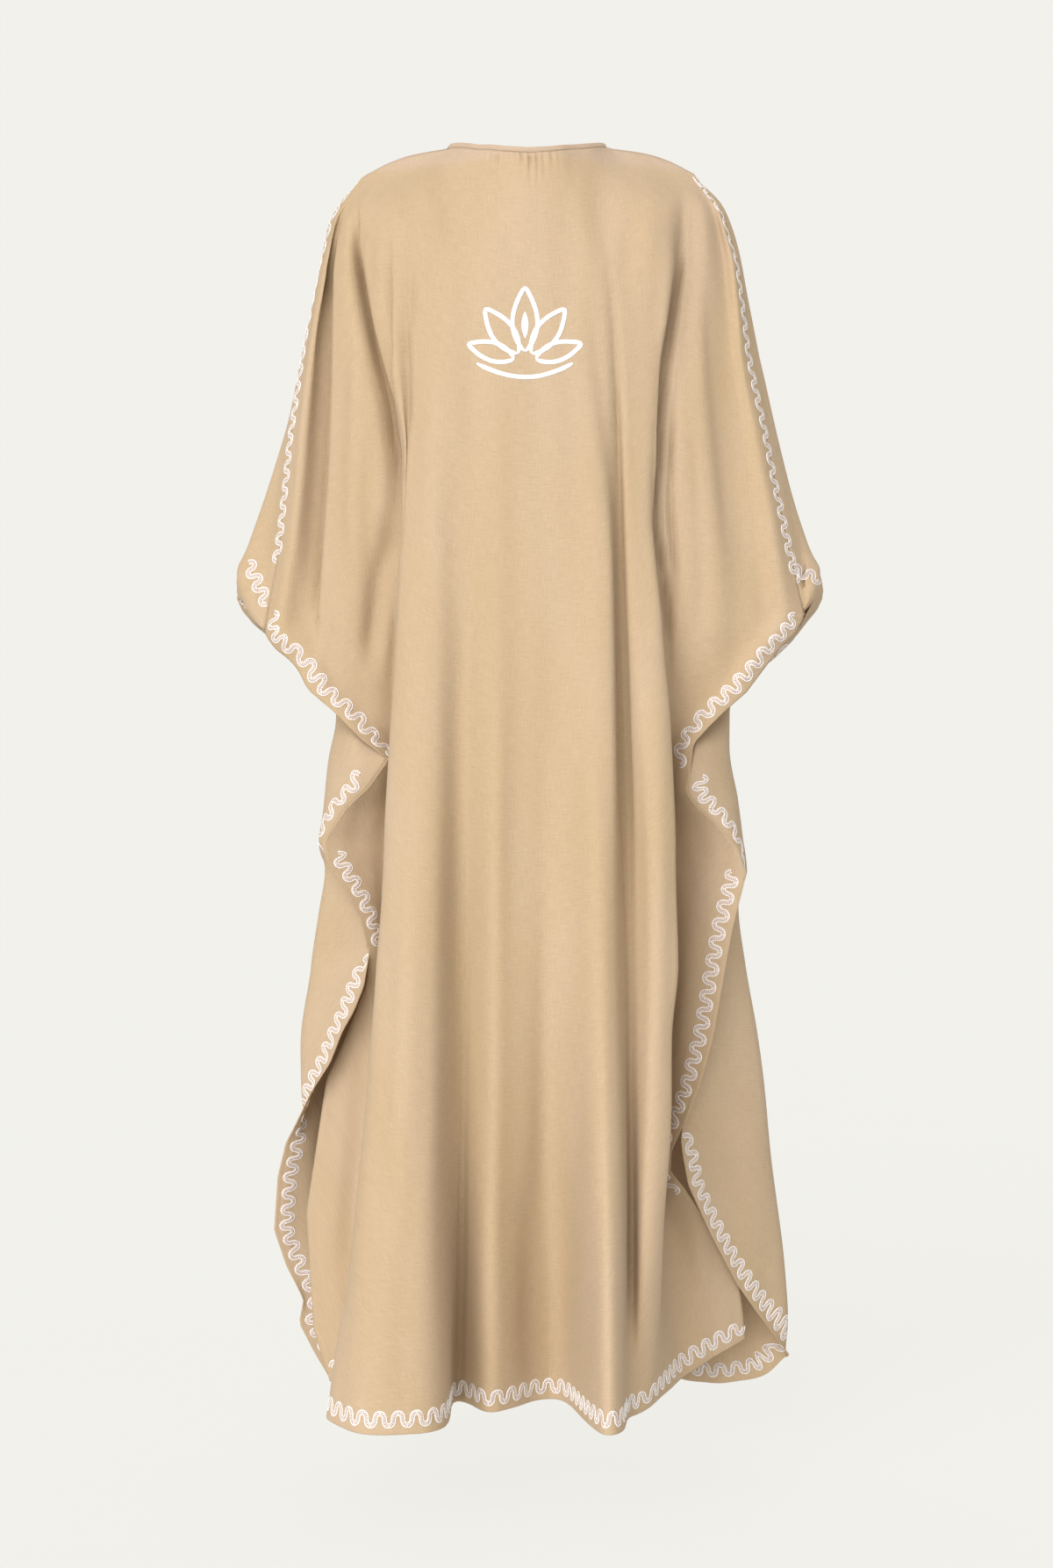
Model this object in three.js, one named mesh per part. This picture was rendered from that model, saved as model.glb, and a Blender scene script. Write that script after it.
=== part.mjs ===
// Kaftan, worn and seen with its sleeves in one with the body. Millimetres, +Z up.
// The wearer faces +Y, so the back of the garment faces -Y. The origin is where the shoulders hold it:
// midway between the neck's side points, at their height.
import * as THREE from 'three';

// Driving dimensions
const WALL = 1.8; // cloth with its turned edges
const SEAM_HALF = { x: 1.3, y: 0.5 }; // from a side seam's middle to either panel's edge
const SHOULDER_HALF = 0.75; // the same across a shoulder seam
const BAND_HEIGHT = 7;
const BAND_GAP = 1; // along the cloth, from the panels' edge to the band
const BAND_LEAN = 0.6; // how far the band leans in at the neck's side points
const NECK_HALF = 88;
const NECK_POINT = { z: -4, y: -13 }; // where the shoulder seams meet the neckline
const SHOULDER_SLOPE = { x: 0.3, y: 0.5, z: 0.8 }; // way that the cloth faces along a shoulder seam
const SHOULDER_CURVE = 5; // rise of a shoulder seam above a straight line
const SHOULDER_CROWDING = 1.5; // above 1, a shoulder seam's columns crowd towards its tip
const GATHER_DEPTH = 2.6; // neck gathers, from the middle to a crest
const GATHER_END = -230; // height where the gathers have faded out
const BACK_TOP_JOIN = -100; // below this the back's sections are level
const FRONT_TOP_JOIN = -300; // below this the front's sections are level
const HEM_JOIN = -1240; // below this each line runs to its own hem height
const HEM_LEVEL = -1350;

// Heights of the sections, from the neck to the hem
const LEVELS = [
  0, -8, -30, -62, -100, -150, -200, -250, -310, -370, -430, -491, -508, -520, -537, -562, -590, -618, -646,
  -668, -681, -700, -720, -740, -756, -778, -790, -812, -840, -874, -910, -960, -1012, -1058, -1088,
  -1127, -1188, -1240, -1290, -1330, -1350,
];

// Every line below runs down the cloth: a seam, an edge, a fold's crest or a valley. Its rows are
// [height z, sideways x, depth y]. A sharp line has true corners, and the others are smooth.

// Arm seams from the shoulder tip to the cuff, shared by both panels
const ARM_SEAM_LEFT = [
  [-38, -181, 0], [-62, -198, -8], [-84, -210, -12], [-140, -225, -15], [-180, -232, -16],
  [-246, -243, -20], [-324, -256, -26], [-415, -265, -30], [-508, -274, -32],
];
const ARM_SEAM_RIGHT = [
  [-34, 178, 0], [-76, 206, -14], [-133, 224, -16], [-186, 231, -18], [-230, 236, -20],
  [-279, 246, -22], [-312, 253, -24], [-361, 262, -26], [-440, 278, -30], [-514, 295, -30],
];
// Side seams below the cuffs, where the joined edges fall in a cascade down to the side slits
const SIDE_SEAM_LEFT = [
  [-668, -149, -60], [-699, -172, -56], [-720, -196, -52], [-756, -221, -45], [-779, -215, -44],
  [-812, -194, -42], [-838, -181, -40], [-874, -171, -38],
];
const SIDE_SEAM_RIGHT = [
  [-681, 170, -64], [-702, 166, -62], [-718, 177, -58], [-733, 195, -55], [-749, 210, -52],
  [-765, 222, -50], [-790, 230, -48], [-807, 226, -47], [-846, 216, -45], [-885, 209, -43],
  [-962, 196, -40], [-1015, 182, -38], [-1058, 165, -36],
];

const BACK_EDGE_LEFT = {
  sharp: true,
  rows: [
    ...ARM_SEAM_LEFT,
    [-533, -263, -36], [-562, -251, -40], [-593, -236, -45], [-618, -207, -50], [-646, -179, -55],
    ...SIDE_SEAM_LEFT,
    [-910, -176, -10], [-960, -196, 12], [-1015, -221, 22], [-1164, -244, 35], [-1290, -236, 32],
    [-1345, -217, 20],
  ],
};
const BACK_ROOT_LEFT = {
  rows: [
    [-28, -154, -3], [-92, -179, -45], [-176, -170, -52], [-245, -155, -58], [-345, -140, -62],
    [-412, -142, -58], [-513, -142, -44], [-600, -134, -28], [-668, -126, -18], [-874, -134, -12],
    [-1000, -140, -8], [-1164, -152, -4], [-1345, -182, -12],
  ],
};
const BACK_FOLD_LEFT = {
  rows: [
    [-4, -88, -15], [-126, -131, -85], [-192, -133, -90], [-334, -124, -100], [-422, -130, -105],
    [-610, -142, -115], [-853, -156, -130], [-1026, -167, -136], [-1168, -183, -140],
    [-1288, -200, -138], [-1347, -206, -134],
  ],
};
const BACK_RIDGE_LEFT = {
  rows: [
    [-10, -66, -41], [-200, -88, -108], [-334, -100, -115], [-510, -110, -125], [-668, -118, -140],
    [-853, -126, -155], [-1026, -136, -170], [-1168, -146, -180], [-1350, -160, -190],
  ],
};
const BACK_VALLEY_LEFT = {
  rows: [
    [-17, -44, -58], [-200, -56, -112], [-334, -62, -118], [-510, -70, -122], [-668, -76, -124],
    [-800, -82, -120], [-1030, -89, -98], [-1168, -88, -74], [-1350, -80, -32],
  ],
};
const BACK_RIDGE_MIDDLE = {
  rows: [
    [-25, -22, -71], [-200, -27, -115], [-510, -30, -130], [-853, -35, -140], [-1168, -38, -120],
    [-1350, -38, -92],
  ],
};
const BACK_VALLEY_MIDDLE = {
  rows: [
    [-28, 0, -75], [-200, 2, -115], [-510, 8, -126], [-853, 14, -122], [-1030, 20, -98],
    [-1168, 25, -60], [-1350, 30, -8],
  ],
};
const BACK_RIDGE_RIGHT = {
  rows: [
    [-25, 22, -71], [-200, 32, -113], [-510, 56, -130], [-668, 62, -139], [-853, 68, -155],
    [-1030, 72, -168], [-1168, 75, -179], [-1350, 76, -189],
  ],
};
const BACK_VALLEY_RIGHT = {
  rows: [
    [-17, 44, -58], [-200, 60, -110], [-487, 90, -116], [-668, 95, -116], [-853, 100, -118],
    [-1000, 103, -122], [-1168, 105, -124], [-1350, 102, -122],
  ],
};
const BACK_CREST_RIGHT = {
  rows: [
    [-10, 66, -41], [-200, 88, -106], [-487, 110, -116], [-668, 119, -130], [-853, 126, -138],
    [-1030, 123, -140], [-1168, 117, -136], [-1350, 113, -103],
  ],
};
const BACK_FOLD_RIGHT = {
  rows: [
    [-4, 88, -15], [-126, 127, -85], [-192, 133, -92], [-327, 130, -100], [-434, 132, -105],
    [-535, 138, -110], [-647, 146, -118], [-758, 151, -125], [-879, 154, -130], [-953, 148, -132],
    [-1063, 145, -130], [-1147, 138, -125], [-1204, 135, -118], [-1345, 125, -90],
  ],
};
const BACK_ROOT_RIGHT = {
  rows: [
    [-26, 152, -3], [-83, 170, -42], [-149, 163, -50], [-214, 154, -55], [-301, 141, -62],
    [-365, 136, -64], [-500, 136, -58], [-600, 133, -38], [-681, 128, -20], [-790, 130, -12],
    [-1058, 124, 0], [-1110, 122, 4], [-1180, 130, 6], [-1250, 146, 2], [-1335, 166, -6],
  ],
};
const BACK_EDGE_RIGHT = {
  sharp: true,
  rows: [
    ...ARM_SEAM_RIGHT,
    [-533, 284, -36], [-550, 266, -40], [-572, 249, -44], [-596, 231, -48], [-618, 206, -52],
    [-636, 188, -56], [-651, 174, -60],
    ...SIDE_SEAM_RIGHT,
    [-1088, 153, -24], [-1110, 152, -20], [-1130, 168, -12], [-1180, 200, 14], [-1235, 230, 40],
    [-1307, 239, 60],
  ],
};

// Lines between two others: rows are [height z, share of the way across, swell out of the garment]
const ARM_SWELL = {
  rows: [
    [-30, 0.12, 0], [-100, 0.12, 12], [-400, 0.12, 16],
    [-560, 0.14, 8], [-668, 0.22, 0], [-1350, 0.22, 0],
  ],
};
const ARM_VALLEY = {
  rows: [
    [-30, 0.32, 0], [-100, 0.26, 4], [-400, 0.28, 1],
    [-560, 0.3, 3], [-668, 0.45, -3], [-1350, 0.45, -3],
  ],
};
const ARM_DRAPE = {
  rows: [
    [-30, 0.6, 0], [-100, 0.6, 6], [-400, 0.64, 12],
    [-560, 0.64, 6], [-668, 0.7, -7], [-1350, 0.7, -6],
  ],
};
const FOLD_SIDE = {
  rows: [
    [-30, 0.5, 0], [-100, 0.5, 6], [-400, 0.5, 8],
    [-560, 0.5, 6], [-668, 0.55, 0], [-1350, 0.55, 0],
  ],
};

const FRONT_EDGE_LEFT = {
  sharp: true,
  rows: [
    ...ARM_SEAM_LEFT,
    [-520, -300, 18], [-537, -280, 24], [-580, -226, 16], [-620, -186, -14],
    ...SIDE_SEAM_LEFT,
    [-910, -176, -32], [-937, -187, -26], [-962, -201, -20], [-995, -214, -10], [-1029, -232, 5],
    [-1067, -251, 25], [-1089, -264, 38], [-1127, -274, 50], [-1188, -280, 60], [-1229, -267, 66],
    [-1267, -250, 72], [-1294, -256, 76], [-1330, -239, 84], [-1362, -221, 90],
  ],
};
const FRONT_TUCK_LEFT = {
  sharp: true,
  rows: [
    [-37, -183, 3], [-84, -214, -2], [-180, -235, -4], [-324, -263, -8], [-415, -278, -10],
    [-491, -298, -12], [-508, -300, -6], [-520, -306, 26], [-537, -289, 34], [-580, -237, 28],
    [-620, -200, -8], [-646, -188, -32], [-668, -180, -40], [-699, -190, -45], [-720, -206, -40],
    [-756, -223, -24], [-779, -209, -28], [-812, -188, -27], [-838, -175, -25], [-874, -166, -22],
    [-910, -196, -18], [-962, -216, -6], [-1029, -242, 14], [-1089, -266, 42], [-1127, -276, 54],
    [-1188, -282, 64], [-1229, -262, 72], [-1294, -250, 82], [-1362, -212, 94],
  ],
};
const FRONT_TURN_LEFT = {
  rows: [
    [-36, -185, 6], [-87, -217, 8], [-136, -227, 8], [-175, -235, 8], [-241, -248, 8],
    [-293, -258, 8], [-319, -266, 8], [-372, -284, 8], [-450, -308, 6], [-491, -319, 4],
    [-508, -312, 16], [-520, -305, 38], [-537, -291, 50], [-580, -244, 46], [-617, -214, 4],
    [-666, -216, 2], [-717, -220, 2], [-765, -225, 5], [-783, -222, 8], [-836, -228, 12],
    [-901, -237, 20], [-981, -249, 30], [-1031, -258, 35], [-1089, -268, 48], [-1127, -277, 60],
    [-1188, -283, 70], [-1229, -256, 80], [-1362, -202, 98],
  ],
};
const FRONT_ARM_LEFT = {
  rows: [
    [-33, -170, 8], [-87, -200, 38], [-175, -215, 46], [-293, -236, 48], [-372, -255, 48],
    [-450, -272, 46], [-500, -280, 48], [-537, -268, 62], [-580, -232, 66], [-620, -206, 50],
    [-666, -202, 54], [-765, -206, 62], [-901, -216, 76], [-1031, -230, 90], [-1127, -240, 100],
    [-1229, -230, 108], [-1366, -186, 116],
  ],
};
const FRONT_VALLEY_LEFT = {
  rows: [
    [-25, -144, 6], [-100, -186, 50], [-175, -194, 50], [-293, -204, 42], [-450, -222, 40],
    [-537, -222, 54], [-620, -184, 62], [-765, -180, 76], [-1031, -196, 100], [-1229, -198, 120],
    [-1370, -166, 132],
  ],
};
const FRONT_ROOT_LEFT = {
  rows: [
    [-15, -118, 4], [-100, -164, 60], [-175, -160, 62], [-293, -150, 60], [-400, -148, 62],
    [-537, -154, 68], [-668, -155, 82], [-900, -160, 108], [-1130, -168, 128], [-1372, -148, 150],
  ],
};
const FRONT_FOLD_LEFT = {
  rows: [
    [-4, -88, -11], [-60, -110, 50], [-126, -125, 86], [-200, -128, 96], [-334, -126, 100],
    [-510, -130, 110], [-700, -134, 124], [-1000, -136, 152], [-1374, -134, 182],
  ],
};
const FRONT_RIDGE_LEFT = {
  rows: [
    [-58, -76, 42], [-150, -92, 90], [-300, -94, 112], [-510, -96, 120], [-800, -98, 148],
    [-1100, -100, 174], [-1375, -104, 198],
  ],
};
const FRONT_VALLEY_NEAR_LEFT = {
  rows: [
    [-126, -46, 84], [-300, -52, 114], [-510, -52, 118], [-800, -52, 126], [-1100, -50, 128],
    [-1375, -50, 122],
  ],
};
const FRONT_RIDGE_MIDDLE = {
  rows: [
    [-160, 0, 98], [-300, 0, 120], [-510, 2, 128], [-800, 4, 148], [-1100, 6, 170], [-1375, 8, 190],
  ],
};
const FRONT_VALLEY_NEAR_RIGHT = {
  rows: [
    [-126, 46, 84], [-300, 54, 113], [-510, 56, 117], [-800, 58, 130], [-1100, 60, 136],
    [-1375, 62, 138],
  ],
};
const FRONT_RIDGE_RIGHT = {
  rows: [
    [-58, 76, 42], [-150, 92, 90], [-300, 94, 111], [-510, 98, 120], [-800, 102, 146],
    [-1100, 108, 168], [-1375, 114, 190],
  ],
};
const FRONT_FOLD_RIGHT = {
  rows: [
    [-4, 88, -11], [-60, 110, 50], [-126, 125, 86], [-200, 128, 96], [-334, 126, 100],
    [-510, 130, 110], [-700, 136, 124], [-1000, 144, 148], [-1374, 152, 172],
  ],
};
const FRONT_ROOT_RIGHT = {
  rows: [
    [-15, 118, 4], [-100, 162, 60], [-175, 158, 62], [-293, 150, 60], [-400, 148, 62],
    [-537, 154, 68], [-668, 156, 82], [-900, 164, 104], [-1130, 178, 118], [-1374, 188, 136],
  ],
};
const FRONT_VALLEY_RIGHT = {
  rows: [
    [-25, 144, 6], [-100, 184, 50], [-175, 194, 50], [-293, 206, 42], [-450, 224, 40],
    [-537, 222, 54], [-620, 186, 62], [-765, 184, 76], [-1031, 200, 98], [-1229, 222, 112],
    [-1371, 226, 122],
  ],
};
const FRONT_ARM_RIGHT = {
  rows: [
    [-33, 170, 8], [-87, 200, 38], [-175, 217, 46], [-293, 240, 48], [-372, 258, 48],
    [-450, 275, 46], [-500, 282, 48], [-540, 268, 62], [-580, 236, 66], [-620, 207, 50],
    [-666, 203, 54], [-765, 213, 62], [-901, 219, 78], [-1031, 233, 94], [-1127, 245, 106],
    [-1243, 260, 112], [-1362, 266, 118],
  ],
};
const FRONT_TURN_RIGHT = {
  rows: [
    [-36, 184, 6], [-72, 213, 8], [-113, 227, 8], [-170, 237, 8], [-225, 248, 8], [-254, 255, 8],
    [-319, 269, 8], [-385, 287, 8], [-450, 307, 6], [-492, 319, 4], [-508, 314, 16], [-520, 306, 38],
    [-540, 291, 50], [-580, 253, 48], [-616, 217, 4], [-654, 216, 2], [-713, 224, 2],
    [-757, 231, 4], [-790, 236, 10], [-823, 229, 14], [-890, 235, 22], [-970, 247, 35],
    [-1073, 263, 50], [-1151, 274, 65], [-1243, 285, 84], [-1300, 290, 98], [-1340, 288, 110],
  ],
};
const FRONT_TUCK_RIGHT = {
  sharp: true,
  rows: [
    [-35, 180, 3], [-76, 209, -2], [-133, 226, -4], [-230, 242, -6], [-312, 260, -8],
    [-361, 272, -10], [-440, 291, -12], [-492, 306, -12], [-508, 308, -6], [-520, 306, 26],
    [-540, 289, 34], [-580, 245, 30], [-620, 207, -8], [-651, 196, -34], [-681, 190, -45],
    [-702, 188, -48], [-733, 205, -40], [-765, 226, -30], [-790, 233, -22], [-807, 219, -30],
    [-846, 209, -30], [-885, 202, -28], [-962, 189, -25], [-1015, 175, -23], [-1058, 159, -22],
    [-1088, 178, -14], [-1125, 190, -2], [-1184, 215, 18], [-1242, 243, 45], [-1284, 265, 70],
    [-1338, 291, 105],
  ],
};
const FRONT_EDGE_RIGHT = {
  sharp: true,
  rows: [
    ...ARM_SEAM_RIGHT,
    [-520, 300, 18], [-540, 280, 24], [-580, 234, 18], [-620, 196, -14], [-651, 176, -48],
    ...SIDE_SEAM_RIGHT,
    [-1075, 162, -33], [-1088, 163, -30], [-1125, 170, -22], [-1184, 197, 0], [-1242, 227, 30],
    [-1284, 255, 60], [-1335, 291, 100],
  ],
};

// Each panel's lines from the wearer's left to right, with the number of columns up to the next line.
// A line with "between" lies between an edge and a root, which are given by their places in the list.
const BACK_LINES = [
  { ...BACK_EDGE_LEFT, columns: 2 },
  { ...ARM_SWELL, between: [0, 4], columns: 2 },
  { ...ARM_VALLEY, between: [0, 4], columns: 2 },
  { ...ARM_DRAPE, between: [0, 4], columns: 2 },
  { ...BACK_ROOT_LEFT, columns: 2 },
  { ...FOLD_SIDE, between: [4, 6], columns: 2 },
  { ...BACK_FOLD_LEFT, columns: 3 },
  { ...BACK_RIDGE_LEFT, columns: 3 },
  { ...BACK_VALLEY_LEFT, columns: 3 },
  { ...BACK_RIDGE_MIDDLE, columns: 3 },
  { ...BACK_VALLEY_MIDDLE, columns: 3 },
  { ...BACK_RIDGE_RIGHT, columns: 3 },
  { ...BACK_VALLEY_RIGHT, columns: 3 },
  { ...BACK_CREST_RIGHT, columns: 3 },
  { ...BACK_FOLD_RIGHT, columns: 2 },
  { ...FOLD_SIDE, between: [16, 14], columns: 2 },
  { ...BACK_ROOT_RIGHT, columns: 2 },
  { ...ARM_DRAPE, between: [20, 16], columns: 2 },
  { ...ARM_VALLEY, between: [20, 16], columns: 2 },
  { ...ARM_SWELL, between: [20, 16], columns: 2 },
  { ...BACK_EDGE_RIGHT, columns: 0 },
];
const FRONT_LINES = [
  { ...FRONT_EDGE_LEFT, columns: 2 },
  { ...FRONT_TUCK_LEFT, columns: 2 },
  { ...FRONT_TURN_LEFT, columns: 2 },
  { ...FRONT_ARM_LEFT, columns: 2 },
  { ...FRONT_VALLEY_LEFT, columns: 2 },
  { ...FRONT_ROOT_LEFT, columns: 2 },
  { ...FRONT_FOLD_LEFT, columns: 3 },
  { ...FRONT_RIDGE_LEFT, columns: 3 },
  { ...FRONT_VALLEY_NEAR_LEFT, columns: 3 },
  { ...FRONT_RIDGE_MIDDLE, columns: 3 },
  { ...FRONT_VALLEY_NEAR_RIGHT, columns: 3 },
  { ...FRONT_RIDGE_RIGHT, columns: 3 },
  { ...FRONT_FOLD_RIGHT, columns: 2 },
  { ...FRONT_ROOT_RIGHT, columns: 2 },
  { ...FRONT_VALLEY_RIGHT, columns: 2 },
  { ...FRONT_ARM_RIGHT, columns: 2 },
  { ...FRONT_TURN_RIGHT, columns: 2 },
  { ...FRONT_TUCK_RIGHT, columns: 2 },
  { ...FRONT_EDGE_RIGHT, columns: 0 },
];
const BACK_NECK = { first: 12, last: 36 }; // columns of the back's neckline
const FRONT_NECK = { first: 12, last: 30 }; // columns of the front's neckline

function slopeAt(rows, i, k) {
  if (i === 0 || i === rows.length - 1) return 0;
  const above = (rows[i][k] - rows[i - 1][k]) / (rows[i][0] - rows[i - 1][0]);
  const below = (rows[i + 1][k] - rows[i][k]) / (rows[i + 1][0] - rows[i][0]);
  if (above * below <= 0) return 0;
  return (2 * above * below) / (above + below);
}

// Value k of a line at height z: straight between rows on a sharp line, and otherwise a monotone cubic
function valueAt({ rows, sharp }, z, k) {
  let i = 0;
  while (i < rows.length - 2 && z < rows[i + 1][0]) i += 1;
  const from = rows[i];
  const to = rows[i + 1];
  const span = to[0] - from[0];
  const t = THREE.MathUtils.clamp((z - from[0]) / span, 0, 1);
  if (sharp) return from[k] + (to[k] - from[k]) * t;
  const endSlope = (to[k] - from[k]) / span;
  const startTangent = (i === 0 ? endSlope : slopeAt(rows, i, k)) * span;
  const endTangent = (i === rows.length - 2 ? endSlope : slopeAt(rows, i + 1, k)) * span;
  return (
    from[k] * (1 + 2 * t) * (1 - t) ** 2 +
    startTangent * t * (1 - t) ** 2 +
    to[k] * t * t * (3 - 2 * t) -
    endTangent * t * t * (1 - t)
  );
}

// Height of a line on a section: level in the middle, and run out to the line's own ends
function heightAt(rows, level, topJoin) {
  const top = rows[0][0];
  const bottom = rows[rows.length - 1][0];
  if (level > topJoin) return top + (topJoin - top) * (level / topJoin);
  if (level > HEM_JOIN) return level;
  return HEM_JOIN + ((bottom - HEM_JOIN) * (level - HEM_JOIN)) / (HEM_LEVEL - HEM_JOIN);
}

// Points of one section, one on each line. The side sign is -1 for the back and 1 for the front.
function sectionPoints(lines, level, topJoin, side) {
  const points = lines.map((line, i) => {
    if (line.between) return null;
    const z = heightAt(line.rows, level, topJoin);
    const point = new THREE.Vector3(valueAt(line, z, 1), valueAt(line, z, 2), z);
    if (i > 0 && i < lines.length - 1) return point;
    const outward = i === 0 ? -1 : 1;
    point.x += side * outward * SEAM_HALF.x;
    point.y += side * SEAM_HALF.y;
    return point;
  });
  lines.forEach((line, i) => {
    if (!line.between) return;
    const [edge, root] = line.between.map((place) => points[place]);
    points[i] = edge.clone().lerp(root, valueAt(line, level, 1));
    points[i].y += side * valueAt(line, level, 2);
  });
  return points;
}

// Lays both ends of a panel's top row on the shoulder seams, from the tips to the neck's side points
function layOnShoulders(row, { first }, side) {
  for (let i = 0; i <= first; i += 1) {
    const t = (i / first) ** SHOULDER_CROWDING;
    [[ARM_SEAM_LEFT[0], -1, i], [ARM_SEAM_RIGHT[0], 1, row.length - 1 - i]].forEach(
      ([tip, sign, column]) => row[column].set(
        tip[1] + (sign * NECK_HALF - tip[1]) * t,
        NECK_POINT.y * t + side * SHOULDER_HALF,
        tip[0] + (NECK_POINT.z - tip[0]) * t + SHOULDER_CURVE * Math.sin(Math.PI * t),
      ),
    );
  }
}

// Middle surface of a panel: a row of columns for each section, smooth from line to line
function panelGrid(lines, topJoin, side) {
  return LEVELS.map((level) => {
    const curve = new THREE.CatmullRomCurve3(
      sectionPoints(lines, level, topJoin, side), false, 'centripetal',
    );
    const row = [];
    lines.forEach(({ columns }, i) => {
      for (let step = 0; step < columns; step += 1) {
        row.push(curve.getPoint((i + step / columns) / (lines.length - 1)));
      }
    });
    row.push(curve.getPoint(1));
    return row;
  });
}

// Direction of a line of points at one of them: the mean of the directions of both its segments
function tangentAt(before, point, after) {
  const tangent = new THREE.Vector3();
  if (before) tangent.add(point.clone().sub(before).normalize());
  if (after) tangent.add(after.clone().sub(point).normalize());
  return tangent.normalize();
}

// Unit normals of a panel's points, out of the garment. Along the shoulders they have one slope.
function gridNormals(grid, sign, { first, last }) {
  return grid.map((row, j) => row.map((point, i) => {
    if (j === 0 && (i < first || i > last)) {
      const { x, y, z } = SHOULDER_SLOPE;
      return new THREE.Vector3(x * Math.sign(point.x), y * sign, z).normalize();
    }
    const across = tangentAt(row[i - 1], point, row[i + 1]);
    const down = tangentAt(grid[j - 1]?.[i], point, grid[j + 1]?.[i]);
    return across.cross(down).normalize().multiplyScalar(sign);
  }));
}

// Gathers under the neck band: every second column stands out, strongest in the middle
function addGathers(grid, normals, { first, last }) {
  const middle = (first + last) / 2;
  grid.forEach((row, j) => {
    for (let i = first + 1; i < last; i += 1) {
      const top = grid[0][i].z;
      const down = THREE.MathUtils.clamp((top - row[i].z) / (top - GATHER_END), 0, 1);
      const strength = 1 - 0.55 * (Math.abs(i - middle) / (last - middle));
      const depth = GATHER_DEPTH * Math.min(1, down * 5) * (1 - down) * strength;
      row[i].addScaledVector(normals[j][i], i % 2 === 0 ? depth : -depth);
    }
  });
}

// Closed wall around a grid, or around a loop of columns
function wallGeometry(outer, inner, closed) {
  const rows = outer.length;
  const columns = outer[0].length;
  const positions = [...outer.flat(), ...inner.flat()].flatMap((p) => [p.x, p.y, p.z]);
  const outside = (j, i) => j * columns + (i % columns);
  const inside = (j, i) => rows * columns + outside(j, i);
  const index = [];
  const quad = (a, b, c, d) => index.push(a, b, c, a, c, d);
  const spans = closed ? columns : columns - 1;
  for (let j = 0; j < rows - 1; j += 1) {
    for (let i = 0; i < spans; i += 1) {
      quad(outside(j, i), outside(j + 1, i), outside(j + 1, i + 1), outside(j, i + 1));
      quad(inside(j, i), inside(j, i + 1), inside(j + 1, i + 1), inside(j + 1, i));
    }
  }
  for (let i = 0; i < spans; i += 1) {
    quad(outside(0, i), outside(0, i + 1), inside(0, i + 1), inside(0, i));
    quad(outside(rows - 1, i), inside(rows - 1, i), inside(rows - 1, i + 1), outside(rows - 1, i + 1));
  }
  if (!closed) {
    const end = columns - 1;
    for (let j = 0; j < rows - 1; j += 1) {
      quad(outside(j, 0), inside(j, 0), inside(j + 1, 0), outside(j + 1, 0));
      quad(outside(j, end), outside(j + 1, end), inside(j + 1, end), inside(j, end));
    }
  }
  const geometry = new THREE.BufferGeometry();
  geometry.setAttribute('position', new THREE.Float32BufferAttribute(positions, 3));
  geometry.setIndex(index);
  geometry.computeVertexNormals();
  return geometry;
}

function offsetGrid(grid, normals, distance) {
  return grid.map((row, j) => row.map((p, i) => p.clone().addScaledVector(normals[j][i], distance)));
}

function clothMaterial(color) {
  return new THREE.MeshStandardMaterial({ color, roughness: 0.85, metalness: 0 });
}

function panel(name, grid, sign, neck, color) {
  const normals = gridNormals(grid, sign, neck);
  const geometry = wallGeometry(
    offsetGrid(grid, normals, (-sign * WALL) / 2), offsetGrid(grid, normals, (sign * WALL) / 2), false,
  );
  const mesh = new THREE.Mesh(geometry, clothMaterial(color));
  mesh.name = name;
  return mesh;
}

// Narrow band that stands on the neckline, all round
function neckBand(back, front, color) {
  const loop = [
    ...back[0].slice(BACK_NECK.first, BACK_NECK.last + 1),
    ...front[0].slice(FRONT_NECK.first + 1, FRONT_NECK.last).reverse(),
  ];
  const tangents = loop.map((_, i) => loop[(i + 1) % loop.length].clone()
    .sub(loop[(i + loop.length - 1) % loop.length]).normalize());
  const rises = loop.map((p, i) => {
    const lean = new THREE.Vector3((-BAND_LEAN * p.x) / NECK_HALF, 0, 1);
    return lean.addScaledVector(tangents[i], -lean.dot(tangents[i])).normalize();
  });
  const rows = [BAND_GAP + BAND_HEIGHT, BAND_GAP].map(
    (reach) => loop.map((p, i) => p.clone().addScaledVector(rises[i], reach)),
  );
  const outward = rises.map((rise, i) => rise.clone().cross(tangents[i]).multiplyScalar(-1));
  const normals = [outward, outward];
  const geometry = wallGeometry(
    offsetGrid(rows, normals, WALL / 2), offsetGrid(rows, normals, -WALL / 2), true,
  );
  const mesh = new THREE.Mesh(geometry, clothMaterial(color));
  mesh.name = 'neck_band';
  return mesh;
}

const backGrid = panelGrid(BACK_LINES, BACK_TOP_JOIN, -1);
const frontGrid = panelGrid(FRONT_LINES, FRONT_TOP_JOIN, 1);
layOnShoulders(backGrid[0], BACK_NECK, -1);
layOnShoulders(frontGrid[0], FRONT_NECK, 1);
addGathers(backGrid, gridNormals(backGrid, -1, BACK_NECK), BACK_NECK);

const kaftan = new THREE.Group();
kaftan.add(panel('back_panel', backGrid, -1, BACK_NECK, 0xd9b98c));
kaftan.add(panel('front_panel', frontGrid, 1, FRONT_NECK, 0xd2b084));
kaftan.add(neckBand(backGrid, frontGrid, 0xdcbe94));

export default kaftan;
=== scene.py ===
"""Hollow kaftan, filled out as worn. Metres, +Z up; its back faces -Y.

The cloth is built in millimetres from lines that run down it, and scaled to metres as it is made.
"""

import math

import bpy
import numpy as np
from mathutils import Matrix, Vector
from mathutils.bvhtree import BVHTree


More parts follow.
